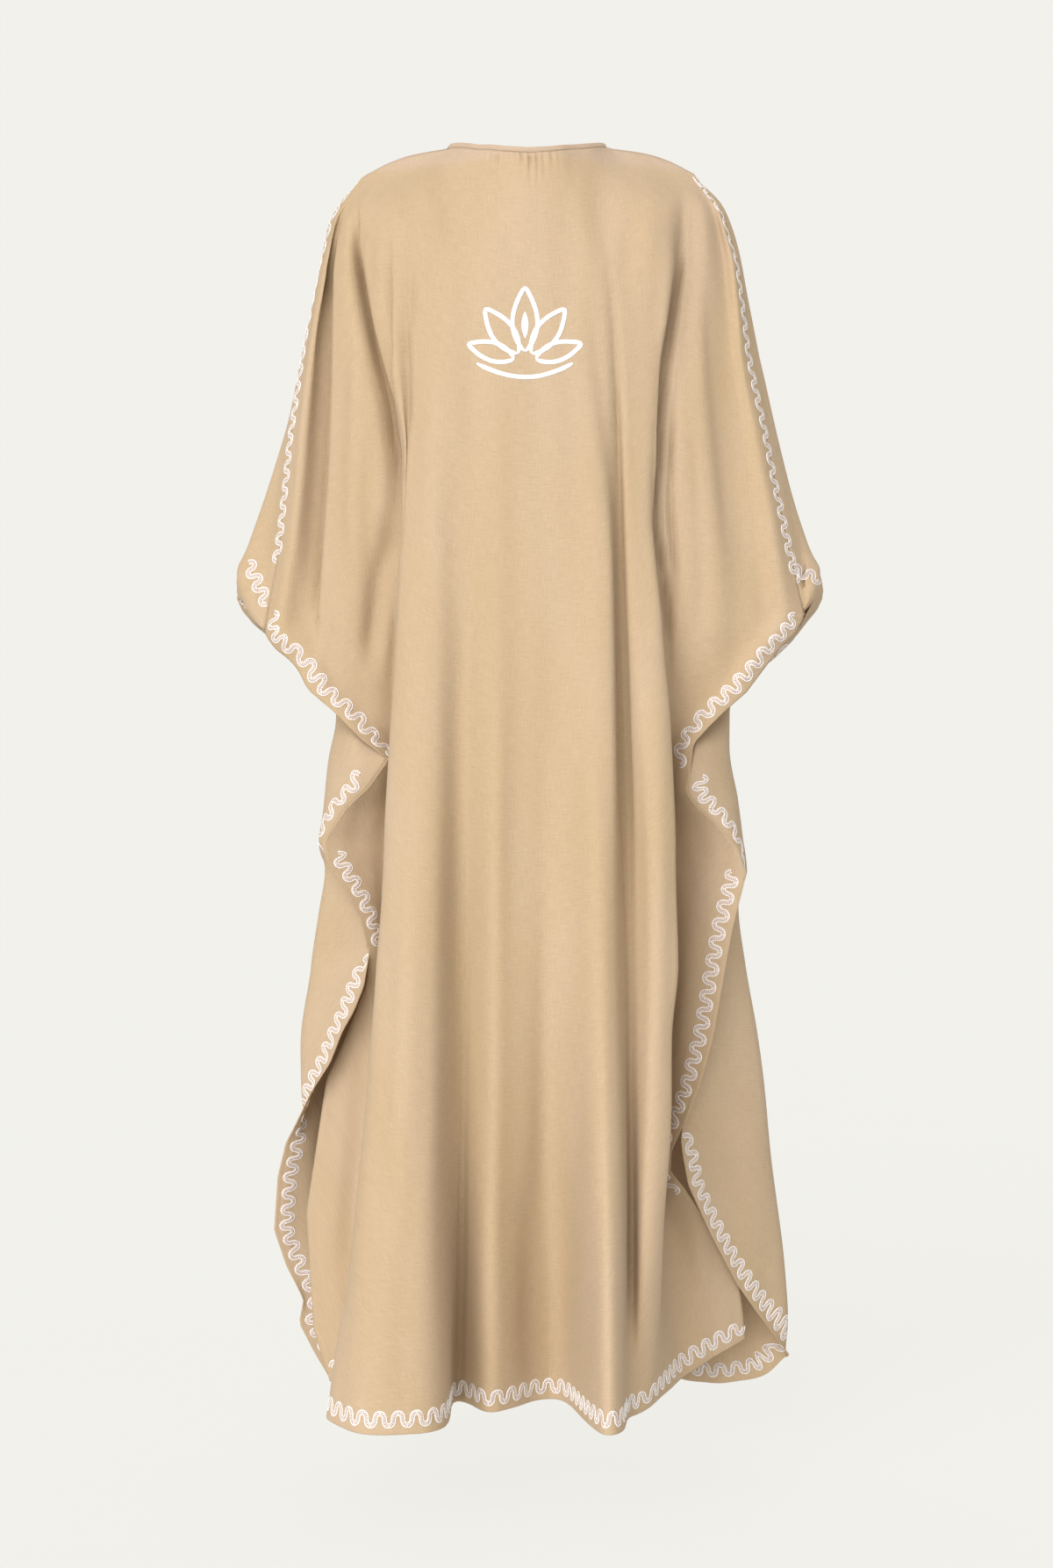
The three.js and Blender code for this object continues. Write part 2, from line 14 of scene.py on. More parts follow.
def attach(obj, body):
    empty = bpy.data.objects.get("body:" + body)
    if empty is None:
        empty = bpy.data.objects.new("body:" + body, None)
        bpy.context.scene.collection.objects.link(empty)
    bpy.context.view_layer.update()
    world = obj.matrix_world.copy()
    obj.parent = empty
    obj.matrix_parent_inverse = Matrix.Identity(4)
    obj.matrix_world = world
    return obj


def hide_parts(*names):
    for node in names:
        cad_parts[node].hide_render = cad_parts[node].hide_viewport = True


MM = 0.001

# Camera: level, straight behind the garment
CAMERA_PLACE = (-0.003, -2.7, -0.694)
SENSOR = 36.0
LENS = 85.26

# Cloth
CLOTH_HALF = 0.45  # half the thickness of the cloth
SEAM_HALF = (0.2, 0.1)  # from a side seam's middle to either panel's edge, sideways and in depth
SHOULDER_HALF = 0.3  # from a shoulder seam's middle to either panel, in depth
SEAM_ROLL = (0.8, 0.6)  # half width and half height of the roll over a seam
SEAM_LEAN = 0.3  # how much more the roll faces like the back than like the front
NECK_HALF = 88
NECK_POINT = (-4, -13)  # height and depth where the shoulder seams meet the neckline
SHOULDER_CURVE = 5
SHOULDER_CROWDING = 1.5
SHOULDER_FADE = 30  # below the shoulder seams, where the cloth leaves their line
BACK_TOP_JOIN = -100  # below this the back's sections are level
FRONT_TOP_JOIN = -300
HEM_JOIN = -1240  # below this each line runs to its own hem height
HEM_LEVEL = -1350
ROW_STEP = 6.5
EDGE_ROW_STEP = 3.0  # finer rows by the neck and by the hem
EDGE_ROWS_WITHIN = 24
NECK_LINES = 6  # lines from a side edge to the neck's side point

# Neck
GATHERS = 18
GATHER_DEPTH = 1.9
GATHER_END = -84
GATHER_SIDE = (0.23, 0.1)  # shares of the neck: left plain on each side, and where the gathers grow
GATHER_STRENGTH = (0.92, 0.4, 26, 0.6)  # of each gather: mean, swing, how often, place
GATHER_REACH = (0.72, 0.28, 23, 1.1)  # share of the way down to the end, told in the same way
GATHER_SIDE_LOSS = 0.3  # share by which they are lower at the neck's sides than in its middle
GATHER_FALL = (9, 1.6)  # how quickly they rise below the neckline, and die out
GATHER_JITTER = ((0.012, 9, 1), (0.006, 43, 0))  # uneven spacing: how far, how often, place
BAND_HEIGHT = 5.4
NECK_MIDDLE = 0.2  # share of the drop in the middle of the neck
NECK_DROP = (6.0, 80, 160, 80)  # down by, whole within and gone beyond these distances sideways, gone below
NECK_DIP = (8, 60)  # sideways, where the middle's smaller drop ends and the whole one begins
BAND_GAP = 0.2
BAND_LEAN = 0.6
BAND_HALF = 0.9
BAND_CORNER = 0.6
BAND_FLAT_TOP = 0.4  # half width
BAND_TOP = BAND_GAP + BAND_HEIGHT
# Its section: points (out from the neck, up)
BAND_SECTION = [
    (-BAND_HALF, BAND_GAP), (-BAND_HALF * 1.15, BAND_TOP / 2), (-BAND_HALF, BAND_TOP - BAND_CORNER),
    (-BAND_FLAT_TOP, BAND_TOP), (BAND_FLAT_TOP, BAND_TOP), (BAND_HALF, BAND_TOP - BAND_CORNER),
    (BAND_HALF * 1.3, BAND_TOP / 2), (BAND_HALF, BAND_GAP + 0.7), (BAND_HALF * 0.7, BAND_GAP),
]

# Wave trim
WAVE_PERIOD = 19.5
# How far the ribbon turns from the edge's direction, once and three times a period
WAVE_SWINGS = (1.45, 0.07)
WAVE_STEPS = 24
INNER_STEPS = 12  # coarser on the inner faces
CORD_OFFSET = 2.15  # from the ribbon's middle to either cord
CORD_RADIUS = 0.56
SIDE_INSET = 14.0  # from a side edge to the ribbon's middle
HEM_INSET = 15.4
CORNER_GAP = 17.0  # between a side run's end and the hem
ARM_GAP = 50.0  # between an arm run's end and the cuff
ARM_START = 3.0  # between the arm seam's top and its run
HEM_GAP = 2.0  # between a side edge and the hem's run
# Sections of what is sewn on: points (sideways, out from the cloth)
CORD_BAR = np.array([(-1, 0), (-0.8, 0.7), (0, 1.05), (0.8, 0.7), (1, 0)]) * CORD_RADIUS
FILL_BAR = [(-1.85, 0), (-1.7, 0.35), (1.7, 0.35), (1.85, 0)]
STROKE_BAR = [(-1, 0), (-0.86, 0.62), (-0.42, 1), (0.42, 1), (0.86, 0.62), (1, 0)]
BAR_UV = 0.005  # width of the stitches' map round a bar
LEAF_SIDES = 8
LEAF = (1.15, 0.65, 0.45)  # half length, half width and rise of the leaf in each bend
LEAF_LIFT = (0.3, 0.4)  # of its rim and of its middle, out from the cloth
SIDE_COLUMNS = 30  # fine columns and rows taken into the strips beside the edges
HEM_ROWS = 14
SEAM_COLUMNS = (14, 9)  # of the front and of the back
STRIP_REACH = 46.0
SEAM_REACH = (-26.0, 16.0)
# Trims across the front's strips beside the arm seams: from and to (sideways, height)
CUFF_RUNS = [((-303, -455), (-281, -501)), ((283, -464), (313, -474))]
# Where the ribbon's middle lies on an arm seam, from its top to the cuff: below 0 it is on the front
ARM_INSETS_LEFT = (-9.0, -12.0, -12.0, -3.0, 0.0, 0.0)
ARM_INSETS_RIGHT = (3.0, 5.5, 5.5, 4.5, 1.0)
# Heights between which the side trims run on each face, for the left and the right edge. The rest of the
# back's side edges are turned in.
TRIM_SPANS = {
    ("back", "outer"): ([(-511, -668), (-770, -868)], [(-517, -676), (-786, -1132)]),
    ("back", "inner"): ([(-900, -1345)], [(-1150, -1335)]),
    ("front", "outer"): ([(-534, -598), (-694, -1362)], [(-532, -598), (-684, -1335)]),
    ("front", "inner"): ([(-511, -550), (-900, -1362)], [(-516, -550), (-1075, -1335)]),
}

# Hems turned in: width of the turning, how far the cloth stands up there, and the width of the step
TURNED_HEM = (6.5, 0.7, 2.6)
HEM_FADE = 14  # over which a turning starts and ends along a side edge
# Heights between which the side edges are free, on the left and on the right
FREE_EDGES = {-1: [(-540, -640), (-890, -1500)], 1: [(-540, -640), (-1070, -1500)]}

# Wrists: how far the front's cuff edge is lifted to the sleeve's tip, and the outline it follows there
WRIST_LIFT = (27, -10)  # up, and back towards -Y
WRIST_SEAMS = {-1: (274, 298), 1: (293, 301)}  # sideways, where the lift begins and is whole
WRIST_OUTLINE = [(-400, 291), (-450, 307.5), (-491, 319), (-508, 313), (-520, 306), (-537, 285), (-580, 236)]
# Ramps of the lift: depth, and height at its top and its bottom, each from none to whole
WRIST_RAMPS = ((64, 20), (-430, -510), (-610, -540))
# The left arm seam's lower end: out and down by, and its ramps sideways, at its top, its bottom and in depth
SEAM_DROP = (9, 24)
SEAM_RAMPS = ((212, 264), (-430, -508), (-580, -508), (6, -26))

# Colours, as linear light
SLUB_COLORS = ((0.77, 0.579, 0.362), (0.805, 0.615, 0.425))
BAND_COLORS = ((0.77, 0.585, 0.38), (0.805, 0.615, 0.43))
WHITE_THREAD = ((0.90, 0.89, 0.87), (0.74, 0.72, 0.72))
GREY_THREAD = ((0.64, 0.52, 0.46), (0.33, 0.255, 0.225))
WHITE_STITCH, GREY_STITCH = 0.0016, 0.0021  # from stitch to stitch

# Cloth as a material. Fineness is told across and down the cloth.
SHIFT_FINENESS = (7, 2.2)  # of the soft change from golden to rosy
SHIFT_SPAN = (0.36, 0.64)
WEFT_FINENESS = (70, 900)
WARP_FINENESS = (820, 60)
GRAIN_FINENESS = 950.0
WEAVE_DEPTHS = (0.55, 0.7)  # of the panels and of the neck band
WEFT_SHADE = (0.89, 0.875, 0.845)  # of the thin threads, against the thick ones
WARP_SHADE = (0.92, 0.905, 0.885)
THREAD_SPAN = (0.3, 0.72)  # of the noise, from a thin thread to a thick one
# Painted shade in narrow folds: the cloth's colour darkens where its ambient occlusion, within the reach in
# metres, finds it closed in
FOLD_PAINTED_SHADE = (0.34, 0.26, 0.20)  # painted shade: the colour is multiplied by this deep in a narrow fold, where the layers lie close
FOLD_REACH = 0.014
FOLD_OPENNESS = (0.3, 0.82)  # how open the surface is where the painted shade is whole, and where it is gone
FACING = (-0.037, -0.025)  # heights where the neck's facing starts to show through, and is whole
FACING_SHARE = 0.55
FACING_COLOR = (0.82, 0.645, 0.515)
CLOTH_THINNESS = 0.38  # share of the light that goes through

# Studio
FLOOR_HEIGHT = -1.46
FLOOR_SIZE = 16.0
FLOOR_GLOW = (0.803, 0.798, 0.76, 1.0)
BACKDROP = (0.887, 0.879, 0.84)
NEAR_SKY = (0.48, 0.455, 0.425)
SUNS = [("key", 3.52, (0.45, 1.0, -0.42), 50), ("fill", 0.7, (-0.9, 1.0, -0.15), 70)]

# Every line below runs down the cloth: a seam, an edge, a fold's crest or a valley. Its rows are
# [height z, sideways x, depth y]. A sharp line has true corners, and the others are smooth.

# Arm seams from the shoulder tip to the cuff, shared by both panels
ARM_SEAM_LEFT = [
    [-38, -181, 0], [-62, -198, -8], [-84, -210, -12], [-140, -225, -15], [-180, -232, -16],
    [-246, -243, -20], [-324, -256, -26], [-415, -265, -30], [-508, -274, -32],
]
ARM_SEAM_RIGHT = [
    [-34, 178, 0], [-76, 206, -14], [-133, 224, -16], [-186, 231, -18], [-230, 236, -20],
    [-279, 246, -22], [-312, 253, -24], [-361, 262, -26], [-440, 278, -30], [-514, 295, -30],
]
# Side seams below the cuffs, where the joined edges fall in a cascade down to the side slits
SIDE_SEAM_LEFT = [
    [-668, -149, -60], [-699, -172, -56], [-720, -196, -52], [-756, -221, -45], [-779, -215, -44],
    [-812, -194, -42], [-838, -181, -40], [-874, -171, -38],
]
SIDE_SEAM_RIGHT = [
    [-681, 170, -64], [-702, 166, -62], [-718, 177, -58], [-733, 195, -55], [-749, 210, -52],
    [-765, 222, -50], [-790, 230, -48], [-807, 226, -47], [-846, 216, -45], [-885, 209, -43],
    [-962, 196, -40], [-1015, 182, -38], [-1058, 165, -36],
]

BACK_EDGE_LEFT = {"sharp": True, "rows": [
    *ARM_SEAM_LEFT, [-533, -263, -36], [-562, -251, -40], [-593, -236, -45], [-618, -207, -50],
    [-646, -179, -55], *SIDE_SEAM_LEFT, [-910, -176, -10], [-960, -196, 12], [-1015, -221, 22],
    [-1164, -244, 35], [-1290, -236, 32], [-1345, -217, 20],
]}
BACK_ROOT_LEFT = {"rows": [
    [-28, -154, -3], [-92, -179, -45], [-176, -170, -58], [-245, -154, -72], [-345, -139, -80],
    [-412, -141, -80], [-513, -142, -66], [-600, -134, -44], [-668, -126, -26], [-874, -134, -12],
    [-1000, -140, -8], [-1164, -152, -4], [-1345, -182, -12],
]}
BACK_FOLD_LEFT = {"rows": [
    [-4, -88, -15], [-126, -131, -85], [-192, -133, -90], [-334, -124, -100], [-422, -130, -105],
    [-610, -142, -115], [-853, -156, -130], [-1026, -167, -136], [-1168, -183, -140], [-1288, -200, -138],
    [-1347, -206, -134],
]}
BACK_RIDGE_LEFT = {"rows": [
    [-10, -66, -41], [-200, -88, -108], [-334, -100, -115], [-510, -112, -125], [-668, -120, -140],
    [-853, -130, -153], [-1026, -140, -165], [-1168, -152, -174], [-1350, -167, -184],
]}
BACK_BROW_LEFT = {"rows": [
    [-14, -55, -50], [-200, -72, -110], [-334, -82, -118], [-510, -92, -127], [-668, -94, -138],
    [-853, -97, -150], [-1026, -98, -158], [-1168, -97, -163], [-1350, -93, -168],
]}
BACK_VALLEY_LEFT = {"rows": [
    [-17, -44, -58], [-200, -54, -112], [-334, -58, -117], [-510, -61, -121], [-668, -64, -122],
    [-800, -66, -118], [-1030, -68, -103], [-1168, -71, -84], [-1350, -77, -50],
]}
BACK_RIDGE_MIDDLE = {"rows": [
    [-25, -22, -71], [-200, -27, -115], [-510, -30, -130], [-853, -35, -140], [-1168, -38, -120],
    [-1350, -38, -92],
]}
BACK_VALLEY_MIDDLE = {"rows": [
    [-28, 0, -75], [-200, 2, -115], [-510, 8, -126], [-853, 14, -123], [-1030, 19, -104], [-1168, 22, -76],
    [-1350, 24, -36],
]}
BACK_RIDGE_RIGHT = {"rows": [
    [-25, 22, -71], [-200, 34, -113], [-510, 62, -131], [-668, 68, -141], [-853, 73, -156],
    [-1030, 76, -168], [-1168, 78, -178], [-1350, 79, -187],
]}
BACK_BROW_RIGHT = {"rows": [
    [-21, 34, -66], [-200, 52, -112], [-487, 82, -128], [-668, 85, -137], [-853, 87, -150],
    [-1030, 90, -160], [-1168, 92, -167], [-1350, 94, -173],
]}
BACK_VALLEY_RIGHT = {"rows": [
    [-17, 44, -58], [-200, 66, -110], [-487, 95, -115], [-668, 99, -116], [-853, 103, -118],
    [-1000, 104, -121], [-1168, 106, -123], [-1350, 104, -121],
]}
BACK_CREST_RIGHT = {"rows": [
    [-10, 66, -41], [-200, 88, -106], [-487, 110, -116], [-668, 119, -130], [-853, 126, -138],
    [-1030, 123, -140], [-1168, 117, -136], [-1350, 113, -103],
]}
BACK_FOLD_RIGHT = {"rows": [
    [-4, 88, -15], [-126, 127, -85], [-192, 133, -92], [-327, 130, -100], [-434, 132, -105],
    [-535, 138, -110], [-647, 146, -118], [-758, 151, -125], [-879, 154, -130], [-953, 148, -132],
    [-1063, 145, -130], [-1147, 138, -125], [-1204, 135, -118], [-1345, 125, -90],
]}
BACK_ROOT_RIGHT = {"rows": [
    [-26, 152, -3], [-83, 170, -42], [-149, 163, -56], [-214, 154, -70], [-301, 142, -80], [-365, 137, -84],
    [-500, 138, -80], [-600, 136, -58], [-681, 129, -32], [-790, 130, -12], [-1058, 124, 0], [-1110, 122, 4],
    [-1180, 130, 6], [-1250, 146, 2], [-1335, 166, -6],
]}
BACK_EDGE_RIGHT = {"sharp": True, "rows": [
    *ARM_SEAM_RIGHT, [-533, 284, -36], [-550, 266, -40], [-572, 249, -44], [-596, 231, -48],
    [-618, 206, -52], [-636, 188, -56], [-651, 174, -60], *SIDE_SEAM_RIGHT, [-1088, 153, -24],
    [-1110, 152, -20], [-1130, 168, -12], [-1180, 200, 14], [-1235, 230, 40], [-1307, 239, 60],
]}

# Lines between two others: rows are [height z, share of the way across, swell out of the garment]
ARM_SWELL = {"rows": [
    [-30, 0.12, 0], [-100, 0.12, 12], [-400, 0.12, 16], [-560, 0.14, 8], [-668, 0.22, 0], [-1350, 0.22, 0],
]}
ARM_VALLEY = {"rows": [
    [-30, 0.32, 0], [-100, 0.26, 4], [-400, 0.28, 1], [-560, 0.3, 3], [-668, 0.45, -3], [-1350, 0.45, -3],
]}
ARM_DRAPE = {"rows": [
    [-30, 0.6, 0], [-100, 0.6, 6], [-400, 0.64, 12], [-560, 0.64, 6], [-668, 0.7, -7], [-1350, 0.7, -6],
]}
FOLD_SIDE = {"rows": [
    [-30, 0.5, 0], [-100, 0.5, 6], [-400, 0.5, 8], [-560, 0.5, 6], [-668, 0.55, 0], [-1350, 0.55, 0],
]}

FRONT_EDGE_LEFT = {"sharp": True, "rows": [
    *ARM_SEAM_LEFT, [-520, -300, 18], [-537, -275, 24], [-580, -219, 16], [-620, -182, -14], *SIDE_SEAM_LEFT,
    [-910, -176, -32], [-937, -187, -26], [-962, -201, -20], [-995, -214, -10], [-1029, -236, 5],
    [-1067, -255, 25], [-1089, -267, 38], [-1127, -277, 50], [-1188, -282, 60], [-1229, -269, 66],
    [-1267, -250, 72], [-1294, -256, 76], [-1330, -239, 84], [-1362, -221, 90],
]}
FRONT_TUCK_LEFT = {"sharp": True, "rows": [
    [-37, -183, 3], [-84, -214, -2], [-180, -235, -4], [-324, -263, -8], [-415, -278, -10],
    [-491, -298, -12], [-508, -300, -6], [-520, -306, 26], [-537, -284, 34], [-580, -229, 28],
    [-620, -194, -8], [-646, -188, -40], [-668, -182, -50], [-699, -192, -52], [-720, -210, -48],
    [-756, -226, -36], [-779, -209, -28], [-812, -188, -27], [-838, -175, -25], [-874, -166, -22],
    [-910, -196, -18], [-962, -216, -6], [-1029, -236, 12], [-1089, -259, 41], [-1127, -267, 53],
    [-1188, -272, 63], [-1229, -257, 69], [-1294, -243, 79], [-1362, -208, 93],
]}
FRONT_TURN_LEFT = {"rows": [
    [-36, -185, 6], [-87, -217, 8], [-136, -227, 8], [-175, -235, 8], [-241, -248, 8], [-293, -258, 8],
    [-319, -266, 8], [-372, -284, 8], [-450, -308, 6], [-491, -319, 4], [-508, -312, 16], [-520, -305, 38],
    [-537, -285, 50], [-580, -235, 46], [-617, -208, 4], [-666, -216, -8], [-717, -221, -16],
    [-765, -226, -10], [-783, -222, 8], [-836, -228, 12], [-901, -237, 20], [-981, -247, 26],
    [-1031, -247, 32], [-1089, -248, 47], [-1127, -254, 57], [-1188, -257, 67], [-1229, -243, 73],
    [-1294, -227, 83], [-1362, -194, 97],
]}
FRONT_ARM_LEFT = {"rows": [
    [-33, -170, 8], [-87, -200, 38], [-175, -215, 46], [-293, -236, 48], [-372, -255, 48], [-450, -272, 46],
    [-500, -280, 48], [-537, -268, 62], [-580, -232, 66], [-620, -206, 50], [-666, -202, 54],
    [-765, -206, 62], [-901, -214, 74], [-1031, -219, 80], [-1127, -220, 86], [-1229, -206, 94],
    [-1366, -170, 108],
]}
FRONT_VALLEY_LEFT = {"rows": [
    [-25, -144, 6], [-100, -186, 50], [-175, -194, 50], [-293, -204, 42], [-450, -222, 40], [-537, -222, 54],
    [-620, -184, 62], [-765, -180, 76], [-1031, -196, 100], [-1229, -198, 120], [-1370, -166, 132],
]}
FRONT_ROOT_LEFT = {"rows": [
    [-15, -118, 4], [-100, -164, 60], [-175, -160, 62], [-293, -150, 60], [-400, -148, 62], [-537, -154, 68],
    [-668, -155, 82], [-900, -160, 108], [-1130, -168, 128], [-1372, -148, 150],
]}
FRONT_FOLD_LEFT = {"rows": [
    [-4, -88, -11], [-60, -110, 50], [-126, -125, 86], [-200, -128, 96], [-334, -126, 100],
    [-510, -130, 110], [-700, -134, 124], [-1000, -136, 152], [-1374, -134, 182],
]}
FRONT_RIDGE_LEFT = {"rows": [
    [-58, -76, 42], [-150, -92, 90], [-300, -94, 112], [-510, -96, 120], [-800, -98, 148],
    [-1100, -100, 174], [-1375, -104, 198],
]}
FRONT_VALLEY_NEAR_LEFT = {"rows": [
    [-126, -46, 84], [-300, -52, 114], [-510, -52, 118], [-800, -52, 126], [-1100, -50, 128],
    [-1375, -50, 122],
]}
FRONT_RIDGE_MIDDLE = {"rows": [
    [-160, 0, 98], [-300, 0, 120], [-510, 2, 128], [-800, 4, 148], [-1100, 6, 170], [-1375, 8, 190],
]}
FRONT_VALLEY_NEAR_RIGHT = {"rows": [
    [-126, 46, 84], [-300, 54, 113], [-510, 56, 117], [-800, 58, 130], [-1100, 60, 136], [-1375, 62, 138],
]}
FRONT_RIDGE_RIGHT = {"rows": [
    [-58, 76, 42], [-150, 92, 90], [-300, 94, 111], [-510, 98, 120], [-800, 102, 146], [-1100, 108, 168],
    [-1375, 114, 190],
]}
FRONT_FOLD_RIGHT = {"rows": [
    [-4, 88, -11], [-60, 110, 50], [-126, 125, 86], [-200, 128, 96], [-334, 126, 100], [-510, 130, 110],
    [-700, 136, 124], [-1000, 144, 148], [-1374, 152, 172],
]}
FRONT_ROOT_RIGHT = {"rows": [
    [-15, 118, 4], [-100, 162, 60], [-175, 158, 62], [-293, 150, 60], [-400, 148, 62], [-537, 154, 68],
    [-668, 156, 82], [-900, 164, 104], [-1130, 178, 118], [-1374, 188, 136],
]}
FRONT_VALLEY_RIGHT = {"rows": [
    [-25, 144, 6], [-100, 184, 50], [-175, 194, 50], [-293, 206, 42], [-450, 224, 40], [-537, 222, 54],
    [-620, 186, 62], [-765, 184, 76], [-1031, 200, 98], [-1229, 222, 112], [-1371, 226, 122],
]}
FRONT_ARM_RIGHT = {"rows": [
    [-33, 170, 8], [-87, 200, 38], [-175, 217, 46], [-293, 240, 48], [-372, 258, 48], [-450, 275, 46],
    [-500, 282, 48], [-540, 268, 62], [-580, 236, 66], [-620, 207, 50], [-666, 203, 54], [-765, 213, 62],
    [-901, 219, 78], [-1031, 233, 94], [-1127, 245, 106], [-1243, 260, 112], [-1362, 266, 118],
]}
FRONT_TURN_RIGHT = {"rows": [
    [-36, 184, 6], [-72, 213, 8], [-113, 227, 8], [-170, 237, 8], [-225, 248, 8], [-254, 255, 8],
    [-319, 269, 8], [-385, 287, 8], [-450, 307, 6], [-492, 319, 4], [-508, 314, 16], [-520, 306, 38],
    [-540, 285, 50], [-580, 242, 48], [-616, 217, 4], [-654, 216, -8], [-713, 226, -16], [-757, 232, -10],
    [-790, 236, 10], [-823, 229, 14], [-890, 235, 22], [-970, 247, 35], [-1073, 263, 50], [-1151, 274, 65],
    [-1243, 285, 84], [-1300, 290, 98], [-1340, 288, 110],
]}
FRONT_TUCK_RIGHT = {"sharp": True, "rows": [
    [-35, 180, 3], [-76, 209, -2], [-133, 226, -4], [-230, 242, -6], [-312, 260, -8], [-361, 272, -10],
    [-440, 291, -12], [-492, 306, -12], [-508, 308, -6], [-520, 306, 26], [-540, 284, 34], [-580, 236, 30],
    [-620, 200, -8], [-651, 192, -40], [-681, 191, -54], [-702, 186, -56], [-733, 211, -49],
    [-765, 228, -40], [-790, 233, -22], [-807, 219, -30], [-846, 209, -30], [-885, 202, -28],
    [-962, 189, -25], [-1015, 175, -23], [-1058, 159, -22], [-1088, 178, -14], [-1125, 190, -2],
    [-1184, 215, 18], [-1242, 243, 45], [-1284, 265, 70], [-1338, 291, 105],
]}
FRONT_EDGE_RIGHT = {"sharp": True, "rows": [
    *ARM_SEAM_RIGHT, [-520, 300, 18], [-540, 276, 24], [-580, 226, 18], [-620, 190, -14], [-651, 174, -48],
    *SIDE_SEAM_RIGHT, [-1075, 162, -33], [-1088, 163, -30], [-1125, 170, -22], [-1184, 197, 0],
    [-1242, 227, 30], [-1284, 255, 60], [-1335, 291, 100],
]}

# Each panel's lines from -X to +X, with the fine columns up to the next line
BACK_LINES = [
    (BACK_EDGE_LEFT, 7), (dict(ARM_SWELL, between=(0, 4)), 8), (dict(ARM_VALLEY, between=(0, 4)), 13),
    (dict(ARM_DRAPE, between=(0, 4)), 13), (BACK_ROOT_LEFT, 11), (dict(FOLD_SIDE, between=(4, 6)), 6),
    (BACK_FOLD_LEFT, 9), (BACK_RIDGE_LEFT, 7), (BACK_BROW_LEFT, 7), (BACK_VALLEY_LEFT, 13),
    (BACK_RIDGE_MIDDLE, 14), (BACK_VALLEY_MIDDLE, 14), (BACK_RIDGE_RIGHT, 8), (BACK_BROW_RIGHT, 7),
    (BACK_VALLEY_RIGHT, 8), (BACK_CREST_RIGHT, 9), (BACK_FOLD_RIGHT, 8),
    (dict(FOLD_SIDE, between=(18, 16)), 8), (BACK_ROOT_RIGHT, 13), (dict(ARM_DRAPE, between=(22, 18)), 12),
    (dict(ARM_VALLEY, between=(22, 18)), 8), (dict(ARM_SWELL, between=(22, 18)), 7), (BACK_EDGE_RIGHT, 0),
]
FRONT_LINES = [
    (FRONT_EDGE_LEFT, 5), (FRONT_TUCK_LEFT, 6), (FRONT_TURN_LEFT, 7), (FRONT_ARM_LEFT, 7),
    (FRONT_VALLEY_LEFT, 7), (FRONT_ROOT_LEFT, 7), (FRONT_FOLD_LEFT, 9), (FRONT_RIDGE_LEFT, 11),
    (FRONT_VALLEY_NEAR_LEFT, 11), (FRONT_RIDGE_MIDDLE, 11), (FRONT_VALLEY_NEAR_RIGHT, 11),
    (FRONT_RIDGE_RIGHT, 9), (FRONT_FOLD_RIGHT, 7), (FRONT_ROOT_RIGHT, 7), (FRONT_VALLEY_RIGHT, 7),
    (FRONT_ARM_RIGHT, 7), (FRONT_TURN_RIGHT, 6), (FRONT_TUCK_RIGHT, 5), (FRONT_EDGE_RIGHT, 0),
]

FOLD_FADES = (22, 40)  # folds die out this near to a side edge, and to the top
CREASE_ENDS = 0.3  # share of a crease's length over which it dies out
